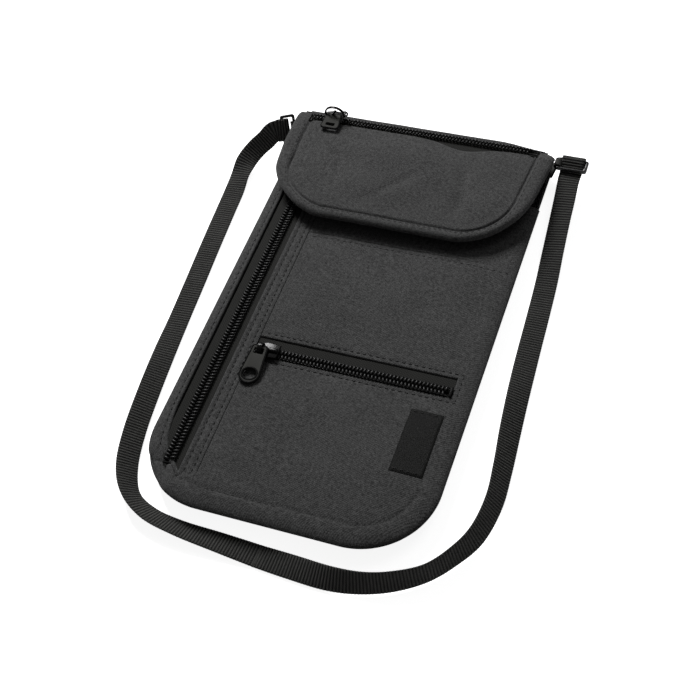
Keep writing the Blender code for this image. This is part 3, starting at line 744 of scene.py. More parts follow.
def cos_sin(degrees):
    return math.cos(math.radians(degrees)), math.sin(math.radians(degrees))


def arc(centre, radius, start, end, steps):
    """Points along an arc, from one angle in degrees to another."""
    angles = [math.radians(start + (end - start) * i / steps) for i in range(steps + 1)]
    return [(centre[0] + radius * math.cos(a), centre[1] + radius * math.sin(a)) for a in angles]


def stitch_along(bm, points, height, moved=lambda x, y: Vector((x, y))):
    """Stitches along a line of (x, y) points, on a surface of some height, moved sideways with its cloth."""
    line = [Vector(point) for point in points]
    walked = 0.0
    due = sizes().stitch_pitch / 2
    for start, end in zip(line, line[1:]):
        step = end - start
        while due < walked + step.length:
            middle = start + step * ((due - walked) / step.length)
            ahead = Vector(moved(*(middle + step * 0.1))) - Vector(moved(*middle))
            add_stitch(bm, Vector((*moved(*middle), height(*middle))), math.atan2(ahead.y, ahead.x))
            due += sizes().stitch_pitch
        walked += step.length


def add_stitch(bm, middle, heading):
    """One stitch of thread, as a drawn-out ball."""
    shape = (sizes().stitch_length / 2, sizes().stitch_width / 2, sizes().stitch_width / 2, 1.0)
    place = Matrix.Translation(middle) @ Matrix.Rotation(heading, 4, "Z") @ Matrix.Diagonal(shape)
    bmesh.ops.create_uvsphere(bm, u_segments=6, v_segments=5, radius=1.0, matrix=place)


def straight(first, last, step=4 * MM):
    """Points at about equal steps from one place to another."""
    first, last = Vector(first), Vector(last)
    count = max(1, round((last - first).length / step))
    return [first.lerp(last, i / count) for i in range(count + 1)]


def tongue_line(half_width, top, bottom, radius, inset):
    """The outline at an inset, from the top left round to the top right."""
    reach, low, turn = half_width - inset, bottom + inset, max(1 * MM, radius - inset)
    left = arc((-reach + turn, low + turn), turn, 180, 270, 24)
    right = arc((reach - turn, low + turn), turn, 270, 360, 24)
    sides = straight((-reach, top), left[0]), straight(left[-1], right[0]), straight(right[-1], (reach, top))
    return [*sides[0], *left[1:], *sides[1], *right[1:], *sides[2]]


# Heights of the cloth


def body_outline():
    return HALF_WIDTH, BOTTOM_Y, sizes().corner_radius


def flap_outline():
    return FLAP_HIGH.x, FLAP_LOW.y, sizes().flap_radius


def zip_distance(x, y):
    """Distance of a point of the front from the nearer of its two zips."""
    side = max(SIDE_SLOT_LEFT - x, x - SIDE_SLOT_RIGHT, SIDE_SLOT_END - y, 0.0)
    beyond = max(SEAM_X - x, x - FRONT_SLOT_END, 0.0)
    front = math.hypot(beyond, max(FRONT_SLOT_BOTTOM - y, y - FRONT_SLOT_TOP, 0.0))
    return min(side, front)


def slow_folds(x, y, seed):
    """Wide and close unevenness of cloth that lies loose."""
    wide = noise.noise(Vector((x * 22, y * 17, seed)))
    close = noise.noise(Vector((x * 70, y * 55, seed + 5)))
    return WIDE_FOLD * wide + CLOSE_FOLD * close


def side_warp(x, y):
    """Where a point of the side cloth lies: the zip's opening bows to the left and its lower end slants."""
    fade = ease((y - BOTTOM_Y - WARP_MARGIN) / (SIDE_SLOT_END - BOTTOM_Y - WARP_MARGIN))
    bow = BOW_GROWTH * max(0.0, (BOW_START_Y - max(y, SIDE_SLOT_END)) / BOW_RUN) ** 2 - BOW_BACK
    outline = -tongue_reach(y, *body_outline())
    edge = max(SIDE_SLOT_LEFT, outline + 1 * MM)
    across = (SIDE_SLOT_RIGHT - x) / (SIDE_SLOT_RIGHT - edge)
    if x < edge:
        across = (x - outline) / (edge - outline)
    slant = min(SLANT_HIGH, max(SLANT_LOW, SLANT_HIGH - SLANT_RATE * (x - SLANT_X)))
    near = ease(1 - max(SIDE_SLOT_LEFT - x, x - SIDE_SLOT_RIGHT, 0.0) / SLANT_REACH)
    ramp = ease((SLANT_START_Y - y) / SLANT_RUN) * fade
    return x + bow * fade * min(1.0, max(0.0, across)), y + slant * near * ramp


def edge_drop(depth, width, height):
    """Drop of a wide rolled edge, as a quarter of an ellipse."""
    short = min(1.0, max(0.0, 1 - depth / width))
    return height * (1 - math.sqrt(1 - short**2))


def front_height(x, y):
    """The front swells between its seams, lies flat along its zips and rolls over at its outline."""
    depth = tongue_depth(x, y, *body_outline())
    free = ease(zip_distance(x, y) / SWELL_FROM_ZIP) * ease(depth / SWELL_FROM_EDGE)
    swell = sizes().crown * free + slow_folds(x, y, 2.0) * (0.25 + free)
    hem = ease((HEM_START_Y - y) / HEM_FADE) * dent(depth - HEM_INSET, *HEM_DENT)
    return FRONT_TOP + swell - hem - edge_drop(depth, sizes().edge_width, sizes().edge_roll)


def rear_sag(x):
    """How far the rear of the top zip comes forward towards its right end."""
    return REAR_SAG * ease((x - REAR_SAG_X) / REAR_SAG_RUN)


def root_line(x):
    """Y of the flap's folded edge beside the top zip, which dips towards the right."""
    return FLAP_HIGH.y + ROOT_RISE - dent(x - ROOT_DIP_X, *ROOT_DIP)


def flap_band(y):
    """Width of the flap's turned edge, which is less along the bottom than up the sides."""
    return sizes().flap_band * (BAND_BELOW + BAND_GAIN * ease((y - FLAP_LOW.y - BAND_START) / BAND_RUN))


def narrowing(y, steps):
    """A share read between the two nearest of some (y in millimetres, share) steps."""
    y = y / MM
    for (low, first), (high, last) in zip(steps, steps[1:]):
        if y < high:
            return first + (last - first) * max(0.0, y - low) / (high - low)
    return steps[-1][1]


def flap_place(x, y):
    """Where a point of the flap lies: it narrows downwards, its root dips and its top corners are cut."""
    share = narrowing(y, FLAP_NARROWING["right" if x > 0 else "left"])
    inside = ease(min(x - CUT_LOW, CUT_HIGH - x) / CUT_FADE)
    near_root = ease((y - FLAP_HIGH.y + ROOT_REACH) / ROOT_REACH)
    shift = (root_line(x) - FLAP_HIGH.y) * inside * near_root
    if x > CUT_HIGH and y > FLAP_HIGH.y:
        shift -= (y - FLAP_HIGH.y) * (TAB_DRAW + TAB_DRAW_RATE * (x - CUT_HIGH) / MM)
    over = Vector((x + FLAP_HIGH.x - CUT_CORNER, y - CUT_TOP + CUT_CORNER))
    if over.x < 0 < over.y and over.length > CUT_CORNER:
        x, y = Vector((x, y)) - over + over.normalized() * CUT_CORNER
    return Vector((x * (1 - (1 - share) * ease(abs(x) / NARROW_REACH)), y + shift))


def flap_height(x, y):
    """The flap has a puffed turned edge, a sewn groove inside it and a soft, creased middle."""
    depth = tongue_depth(x, y, *flap_outline())
    band = flap_band(y)
    puff = FLAP_PUFF * math.sin(math.pi * min(1.0, max(0.0, depth) / band))
    groove = dent(depth - band, *FLAP_GROOVE)
    middle = ease((depth - band) / SWELL_FROM_BAND) * ease((FLAP_HIGH.y - y) / SWELL_FROM_ROOT)
    crease = 0.0
    for place_x, place_y, lean, deep, end, side in FLAP_CREASES:
        away = x - place_x * MM - lean * (y - place_y * MM)
        crease += dent(away, CREASE_WIDTH, deep * MM) * ease(side * (y - end * MM) / CREASE_FADE)
    folds = slow_folds(x, y, 9.0) * (0.4 + 1.6 * middle)
    swell = FLAP_SWELL * middle + folds + puff - groove - crease * middle
    dip = dent(x - ROOT_DIP_X, *FLAP_DIP) * ease((y - FLAP_DIP_Y) / FLAP_DIP_RUN)
    return FLAP_HIGH.z - FLAP_SINK + swell - dip - edge_drop(depth, *FLAP_ROLL)


class PouchOperator:
    """Shared by the operators of this file."""

    bl_options = {"REGISTER", "UNDO"}

    def execute(self, context):
        self.build(context)
        return {"FINISHED"}


class POUCH_OT_stage(PouchOperator, bpy.types.Operator):
    """Camera at the photographed angle, pale floor and soft studio light"""

    bl_idname = "neck_pouch.stage"
    bl_label = "Stage"

    camera_place = Vector((0.15718, -0.30659, 0.44634))
    camera_right = Vector((0.9383, 0.3270, -0.1123))
    camera_up = Vector((-0.2030, 0.7839, 0.5868))
    focal_length = 65.88
    floor_reach = 4.0
    floor_drop = 0.2 * MM
    floor_glow = 0.88
    world_strength = 0.085
    # Name, place, size and power of each lamp
    lamps = (("key", (-0.57, 0.81, 0.85), 0.39, 17.8), ("fill", (0.30, 0.46, 0.84), 0.50, 0.8))

    def build(self, context):
        self.camera(context)
        self.floor()
        self.lights(context)
        context.scene.view_settings.view_transform = "Standard"

    def camera(self, context):
        made = bpy.data.objects.new("Camera", bpy.data.cameras.new("Camera"))
        context.scene.collection.objects.link(made)
        back = self.camera_right.cross(self.camera_up).normalized()
        up = back.cross(self.camera_right).normalized()
        turned = Matrix((self.camera_right.normalized(), up, back)).transposed()
        made.matrix_world = Matrix.Translation(self.camera_place) @ turned.to_4x4()
        made.data.lens = self.focal_length
        made.data.clip_start = 0.01
        context.scene.camera = made

    def floor(self):
        bm = bmesh.new()
        place = Matrix.Translation((0, 0, -self.floor_drop))
        bmesh.ops.create_grid(bm, x_segments=1, y_segments=1, size=self.floor_reach, matrix=place)
        mesh = bpy.data.meshes.new("floor")
        bm.to_mesh(mesh)
        bm.free()
        made = bpy.data.objects.new("floor", mesh)
        bpy.context.scene.collection.objects.link(made)
        finish, tree, shader, _ = new_material("Pale floor", 0.9, specular=0.1)
        shader.inputs["Base Color"].default_value = opaque(colours().floor)
        rays = add_node(tree, "ShaderNodeLightPath").outputs
        seen = maths(tree, "MAXIMUM", rays["Is Camera Ray"], rays["Is Glossy Ray"])
        shader.inputs["Emission Color"].default_value = (1, 1, 1, 1)
        feed(tree, shader.inputs["Emission Strength"], maths(tree, "MULTIPLY", seen, self.floor_glow))
        mesh.materials.append(finish)

    def lights(self, context):
        world = bpy.data.worlds.new("Studio")
        world.use_nodes = True
        background = world.node_tree.nodes["Background"].inputs
        background["Color"].default_value = (1, 1, 1, 1)
        background["Strength"].default_value = self.world_strength
        context.scene.world = world
        for lamp in self.lamps:
            self.lamp(*lamp)

    def lamp(self, name, place, size, power):
        data = bpy.data.lights.new(name, "AREA")
        data.size = size
        data.energy = power
        made = bpy.data.objects.new(name, data)
        bpy.context.scene.collection.objects.link(made)
        aim = Vector((0, 0, 0)) - Vector(place)
        made.matrix_world = Matrix.Translation(place) @ aim.to_track_quat("-Z", "Y").to_matrix().to_4x4()


class POUCH_OT_strap(PouchOperator, bpy.types.Operator):
    """Webbing neck strap, in two runs that are each threaded through a ring"""

    bl_idname = "neck_pouch.strap"
    bl_label = "Neck strap"

    on_ring = 6.5 * MM
    right_bar = 3.0 * MM
    left_bar = 6.0 * MM
    wrap_radius = 1.6 * MM
    right_wrap = (-80, -40, 0, 40, 80, 118)
    left_wrap = (98, 139, 180, 221, 262)
    slack = 1.5 * MM
    ring_spread = 0.6 * MM
    ring_run = 24 * MM
    sewn_end = 2.4 * MM
    lead = 4.5 * MM
    left_rise = 0.5 * MM
    # How the right run leaves its ring: along it from the near bar, and out of its face
    right_lead = ((2.8 * MM, -0.2 * MM), (0.0, -1.85 * MM), (-lead, -2.35 * MM))
    overlap = 0.8 * MM
    edge_wave = 0.05 * MM
    steps_between = 24
    upper = ((-0.97, 0.55), (-0.84, 1.0), (-0.42, 1.0), (0.0, 1.0), (0.42, 1.0), (0.84, 1.0), (0.97, 0.55))
    section = upper + tuple((-x, -y) for x, y in upper)

    def build(self, context):
        left = self.left_threading() + self.lie(LEFT_ROUTE)
        right = self.right_threading() + self.lie(RIGHT_ROUTE)[::-1]
        (before, _), (last, across) = right[-2:]
        right.append((last + (last - before).normalized() * self.overlap, across))
        self.run("left_strap", left, "left_ring", (-84.9, 72, 2.2), (-75.5, 93.5, 11.0), "strap_left_run")
        self.run("right_strap", right, "right_ring", (73.2, 62, 3.4), (71.8, 94.0, 10.8), "strap_right_run")

    def left_threading(self):
        """From the sewn end, through the ring round its outer bar, and away below it."""
        radius = self.wrap_radius
        turn = [(self.left_bar + self.sewn_end, radius)]
        for a, c in self.wrap(self.left_bar, self.left_wrap):
            turn.append((a - self.slack * max(0.0, self.left_bar - a) / radius, c))
        turn.append((self.left_bar + self.lead, -radius + self.left_rise))
        place = ring_frame("left")
        across = place.to_3x3() @ Vector((0, 1, 0))
        return [(place @ Vector((a, 0, c)), across) for a, c in turn]

    def right_threading(self):
        """From the sewn end round the ring's far bar, over, and out under its near bar."""
        bar = self.right_bar
        turn = [(bar - self.sewn_end, -self.wrap_radius), *self.wrap(bar, self.right_wrap)]
        turn += [(along - bar, out) for along, out in self.right_lead]
        place = ring_frame("right")
        across = place.to_3x3() @ Vector((1, 0, 0))
        return [(place @ Vector((self.on_ring, b, c)), across) for b, c in turn]

    def wrap(self, bar, angles):
        swings = [cos_sin(angle) for angle in angles]
        return [(bar + self.wrap_radius * cos, self.wrap_radius * sin) for cos, sin in swings]

    def lie(self, route):
        """The middle and the widthways direction at each point of a route."""
        middles = [Vector(point[:3]) * MM for point in route]
        made = []
        for i, (middle, point) in enumerate(zip(middles, route)):
            ahead = middles[min(i + 1, len(middles) - 1)] - middles[max(i - 1, 0)]
            level = Vector((ahead.y, -ahead.x, 0)).normalized()
            cos, sin = cos_sin(point[3])
            made.append((middle, level * cos + Vector((0, 0, sin))))
        return made

    def smooth(self, values, i, t):
        """Catmull-Rom value between stations i and i + 1."""
        p0, p1 = values[max(i - 1, 0)], values[i]
        p2, p3 = values[i + 1], values[min(i + 2, len(values) - 1)]
        square = 2 * p0 - 5 * p1 + 4 * p2 - p3
        cube = 3 * p1 - p0 - 3 * p2 + p3
        return (2 * p1 + (p2 - p0) * t + square * t**2 + cube * t**3) / 2

    def centreline(self, stations, step):
        """Points and widthways directions at equal steps along the strap."""
        middles = [station[0] for station in stations]
        widths = [station[1] for station in stations]
        for i in range(1, len(widths)):
            if widths[i].dot(widths[i - 1]) < 0:
                widths[i] = -widths[i]
        points = []
        for i in range(len(middles) - 1):
            for k in range(self.steps_between):
                t = k / self.steps_between
                points.append((self.smooth(middles, i, t), self.smooth(widths, i, t)))
        points.append((middles[-1], widths[-1]))
        length = sum((end - start).length for (start, _), (end, _) in zip(points, points[1:]))
        step = length / round(length / step)
        made, walked, due = [], 0.0, 0.0
        for (start, wide), (end, wider) in zip(points, points[1:]):
            span = (end - start).length
            while due <= walked + span:
                share = (due - walked) / span
                made.append((start.lerp(end, share), wide.lerp(wider, share)))
                due += step
            walked += span
        if due - walked < step / 2:
            made.append(points[-1])
        return made, length

    def run(self, name, stations, ring, still, turning, node):
        """One run of webbing with ribs. Its ring, still and turning arguments are not used."""
        rib = sizes().rib_pitch
        line, length = self.centreline(stations, rib / sizes().rib_steps)
        count, around = len(line), len(self.section)
        bm = bmesh.new()
        lay = bm.verts.layers.float_vector.new("lay")
        bmesh.ops.create_grid(bm, x_segments=around, y_segments=count - 1, size=0.5)
        for vert in bm.verts:
            row = round((vert.co.y + 0.5) * (count - 1))
            side, face = self.section[round((vert.co.x + 0.5) * around) % around]
            point, across = line[row]
            along = (line[min(row + 1, count - 1)][0] - line[max(row - 1, 0)][0]).normalized()
            across = (across - along * across.dot(along)).normalized()
            out = along.cross(across)
            wave = math.cos(2 * math.pi * row / sizes().rib_steps)
            rise = sizes().strap_thickness / 2 + sizes().rib_height * (wave - 1) / 2 * (abs(face) > 0.9)
            walked = row * rib / sizes().rib_steps
            spread = self.ring_spread * ease(1 - walked / self.ring_run)
            half = sizes().strap_width / 2 + self.edge_wave * wave + spread
            vert.co = point + across * (side * half) + out * (face * rise)
            vert[lay] = (side * half, walked, wave)
        bmesh.ops.remove_doubles(bm, verts=bm.verts, dist=1e-7)
        bmesh.ops.holes_fill(bm, edges=[edge for edge in bm.edges if edge.is_boundary], sides=0)
        bmesh.ops.recalc_face_normals(bm, faces=bm.faces)
        made = piece(name, bm, webbing(), None, [node])
        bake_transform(made)


class POUCH_OT_rings(PouchOperator, bpy.types.Operator):
    """Moulded rings for the strap and the webbing tabs that hold them"""

    bl_idname = "neck_pouch.rings"
    bl_label = "Rings and tabs"

    shapes = {"left": (6.6 * MM, 7.1 * MM), "right": (13.6 * MM, 3.6 * MM)}
    bar = 1.4 * MM
    half_thickness = 0.85 * MM
    foot_half_widths = {"left": 2.2 * MM, "right": 4.7 * MM}
    loop_half_widths = {"left": 3.6 * MM, "right": 2.2 * MM}
    foot_y = {"left": 100.6 * MM, "right": 101.5 * MM}
    corner = 1.2 * MM
    window_corner = 0.5 * MM
    bevel = 0.45 * MM
    tab_thickness = 0.6 * MM
    tab_weave = 0.6
    tab_rib = -0.3
    # Distance from the middle of the pouch and height of the sewn part of a tab, in millimetres
    foot_line = ((58.2, 9.8), (60.5, 9.8), (62.4, 9.8), (63.2, 10.2))
    loop_radius = 1.5 * MM
    loop_step = 14
    loop_rows = 25

    def build(self, context):
        for side, word in ((-1, "left"), (1, "right")):
            place = ring_frame(word)
            self.ring(word, place)
            self.tab(word, side, place)

    def ring(self, word, place):
        reach, half = self.shapes[word]
        inner = half - self.bar
        outer = rounded_rectangle((-self.bar / 2, -half), (reach, half), self.corner)
        window = rounded_rectangle((self.bar / 2, -inner), (reach - self.bar, inner), self.window_corner)
        bm = bmesh.new()
        rounded_plate(bm, [outer, window], -self.half_thickness, self.half_thickness, self.bevel, place)
        bmesh.ops.recalc_face_normals(bm, faces=bm.faces)
        finish = hard_finish("Moulded plastic", 0.3, 0.5, 0.02 * MM)
        piece(word + "_strap_ring", bm, finish, word + "_ring", [word + "_ring"], sharp=40)

    def tab(self, word, side, place):
        """A tape sewn on the side of the pouch, turned up and looped round the ring's bar."""
        rows = self.foot(word, side) + self.loop(word, side, place)
        bm = bmesh.new()
        lay = bm.verts.layers.float_vector.new("lay")
        bmesh.ops.create_grid(bm, x_segments=8, y_segments=len(rows) - 1, size=0.5)
        for vert in bm.verts:
            row = round((vert.co.y + 0.5) * (len(rows) - 1))
            point, across, half = rows[row]
            sideways = 2 * vert.co.x * half
            vert[lay] = (sideways, row * self.tab_weave * MM, self.tab_rib)
            vert.co = point + across * sideways
        bmesh.ops.recalc_face_normals(bm, faces=bm.faces)
        made = piece(word + "_ring_tab", bm, webbing(), "pouch", [word + "_tab"])
        thicken(made, self.tab_thickness, offset=0.0)

    def foot(self, word, side):
        """The part laid flat on the pouch: a middle, a widthways direction and half a width for each row."""
        middles = [Vector((side * x * MM, self.foot_y[word], z * MM)) for x, z in self.foot_line]
        return [(middle, Vector((0, 1, 0)), self.foot_half_widths[word]) for middle in middles]

    def loop(self, word, side, place):
        """The part round the bar, from where its foot meets it and most of the way round."""
        bar, turned = place.translation, place.to_3x3()
        away, along, face = turned.col
        end_x, end_z = self.foot_line[-1]
        foot = Vector((side * end_x * MM, bar.y, end_z * MM)) - bar
        start = math.atan2(foot.dot(face), foot.dot(away))
        rows = []
        for i in range(self.loop_rows):
            swing = start - math.radians(self.loop_step * i)
            out = away * math.cos(swing) + face * math.sin(swing)
            rows.append((bar + out * self.loop_radius, along, self.loop_half_widths[word]))
        return rows


class POUCH_OT_shell(PouchOperator, bpy.types.Operator):
    """Back and side wall of the pouch, its top gusset and what lines it"""

    bl_idname = "neck_pouch.shell"
    bl_label = "Back, wall and lining"

    # Inset and height of each row of the wall, in millimetres
    wall = ((4.6, 0.15), (4.1, 0.6), (3.5, 1.5), (2.6, 3.2), (1.5, 5.2), (0.7, 6.8), (0.5, 7.6))
    base_inset = 5.4
    sway = 0.3 * MM
    set_in = 0.2 * MM
    lining_thickness = 0.4 * MM

    def build(self, context):
        self.tray()
        self.gusset()
        self.sheet("divider_cloth", "divider_panel", 5.0)
        self.sheet("pocket_lining_cloth", "pocket_lining", 5.0)

    def tray(self):
        """The back, with its edge drawn up and out into the wall, as one cloth."""
        half_width, bottom, radius = body_outline()
        inset = self.base_inset * MM
        bm = tongue_grid(half_width - inset, BACK_HIGH.y, bottom + inset, radius - inset, LINING_CELL)
        rims = [e for e in bm.edges if e.is_boundary]
        edge = [e for e in rims if not all(v.co.y > BACK_HIGH.y - 1e-6 for v in e.verts)]
        done = inset
        for target, height in self.wall:
            grown = bmesh.ops.extrude_edge_only(bm, edges=edge)["geom"]
            edge = [item for item in grown if isinstance(item, bmesh.types.BMEdge)]
            for vert in {v for e in edge for v in e.verts}:
                out = self.outward(vert.co, half_width - radius, bottom + radius)
                vert.co = vert.co + out * (done - target * MM)
                vert.co.z = height * MM
            done = target * MM
        face_along(bm, Vector((0, 0, -1)))
        made = piece("pouch_shell", bm, heather_cloth(), "pouch", ["back_panel", "edge_seam"])
        thicken(made, sizes().cloth_thickness)

    def outward(self, point, corner_x, corner_y):
        """Direction away from the outline's middle, across its edge."""
        over_x = abs(point.x) - corner_x
        over_y = corner_y - point.y
        side = math.copysign(1, point.x)
        if over_y <= 0:
            return Vector((side, 0, 0))
        if over_x <= 0:
            return Vector((0, -1, 0))
        return Vector((side * over_x, -over_y, 0)).normalized()

    def gusset(self):
        low, high = GUSSET_LOW, GUSSET_HIGH
        bm, places = flat_grid(58, 12)
        for vert, u, v in places:
            x = low.x + u * (high.x - low.x)
            z = low.z + v * (high.z - low.z)
            sway = self.sway * noise.noise(Vector((x * 40, z * 90, 1.0)))
            vert.co = (x, high.y + sway - self.set_in, z)
        face_along(bm, Vector((0, 1, 0)))
        made = piece("gusset_cloth", bm, heather_cloth(), "pouch", ["top_gusset"])
        thicken(made, sizes().cloth_thickness)

    def sheet(self, name, node, seed):
        """A slightly uneven lining in the place of its solid."""
        low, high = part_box(node)
        radius = sizes().corner_radius - (HALF_WIDTH - high.x)
        bm = tongue_grid(high.x, high.y, low.y, radius, LINING_CELL)
        for vert in bm.verts:
            sway = self.sway * noise.noise(Vector((vert.co.x * 30, vert.co.y * 30, seed)))
            vert.co.z = high.z + sway - self.set_in
        made = piece(name, bm, lining_cloth(), "pouch", [node])
        thicken(made, self.lining_thickness)


class POUCH_OT_front(PouchOperator, bpy.types.Operator):
    """Front cloth in two pieces, sewn on either side of the zips"""

    bl_idname = "neck_pouch.front"
    bl_label = "Front panels"

    # Width and depth of what the stitch rows press into the cloth
    front_slot_dent = (0.5 * MM, 0.18 * MM)
    side_slot_dent = (0.5 * MM, 0.22 * MM)
    facing_dent = (0.5 * MM, 0.3 * MM)
    hem_line_dent = (0.4 * MM, 0.4 * MM)
    hem_line_cuts = (-0.6, -0.25, 0.0, 0.25, 0.6)
    hem_line_end = 62 * MM
    hem_line_fade = 60 * MM
    seam_roll = 0.7

    def build(self, context):
        self.main_panel()
        self.side_panel()

    def panel(self, side, slot):
        """The cloth on one side of the seam, scored along the seam, the mouth and its zip's opening."""
        half_width, bottom, radius = body_outline()
        bm = tongue_grid(half_width, MOUTH_Y, bottom, radius, sizes().cell)
        slice_at(bm, "x", SEAM_X, keep=side)
        score(bm, "x", SEAM_X, side)
        for axis, place, away in slot:
            slice_at(bm, axis, place)
            score(bm, axis, place, away)
        score(bm, "y", MOUTH_Y, -1)
        return bm

    def main_panel(self):
        slot = (("y", FRONT_SLOT_TOP, 1), ("y", FRONT_SLOT_BOTTOM, -1), ("x", FRONT_SLOT_END, 1))
        bm = self.panel(1, slot)
        for offset in self.hem_line_cuts:
            slice_at(bm, "y", HEM_LINE_Y + offset * MM)
        drop_faces(bm, lambda x, y: x < FRONT_SLOT_END and FRONT_SLOT_BOTTOM < y < FRONT_SLOT_TOP)
        raise_to(bm, self.main_height)
        nodes = ["front_upper_panel", "front_lower_panel"]
        made = piece("front_cloth", bm, heather_cloth(), "pouch", nodes)
        thicken(made, sizes().cloth_thickness)

    def main_height(self, x, y):
        beyond = max(x - FRONT_SLOT_END, 0.0)
        slot = math.hypot(beyond, max(y - FRONT_SLOT_TOP, FRONT_SLOT_BOTTOM - y, 0.0))
        drop = self.folds(slot, x - SEAM_X, y) + dent(slot - STITCH_INSET, *self.front_slot_dent)
        fade = ease((self.hem_line_end - x) / self.hem_line_fade)
        drop += dent(y - HEM_LINE_Y, *self.hem_line_dent) * fade
        return front_height(x, y) - drop

    def folds(self, slot, from_seam, y):
        """Drop of the folded edges, at a distance from the zip's opening and one from the seam."""
        fold = sizes().fold_roll
        seam = roll(from_seam, self.seam_roll * fold) * self.seam_fade(y)
        return roll(slot, fold) + seam + roll(MOUTH_Y - y, fold)

    def seam_fade(self, y):
        """The seam and the rows beside it run out near the bottom."""
        return ease((y - SEAM_END_Y) / SEAM_FADE)

    def side_panel(self):
        slot = (("x", SIDE_SLOT_LEFT, -1), ("x", SIDE_SLOT_RIGHT, 1), ("y", SIDE_SLOT_END, -1))
        bm = self.panel(-1, slot)
        drop_faces(bm, lambda x, y: SIDE_SLOT_LEFT < x < SIDE_SLOT_RIGHT and y > SIDE_SLOT_END)
        raise_to(bm, self.side_height)
        move_flat(bm, side_warp)
        nodes = ["side_strip", "side_zip_facing"]
        made = piece("side_cloth", bm, heather_cloth(), "pouch", nodes)
        thicken(made, sizes().cloth_thickness)

    def side_height(self, x, y):
        beyond = max(SIDE_SLOT_LEFT - x, x - SIDE_SLOT_RIGHT, 0.0)
        slot = math.hypot(beyond, max(SIDE_SLOT_END - y, 0.0))
        drop = self.folds(slot, SEAM_X - x, y) + dent(slot - STITCH_INSET, *self.side_slot_dent)
        for row in FACING_ROWS:
            drop += dent(x - row, *self.facing_dent) * self.seam_fade(y)
        return front_height(x, y) - drop


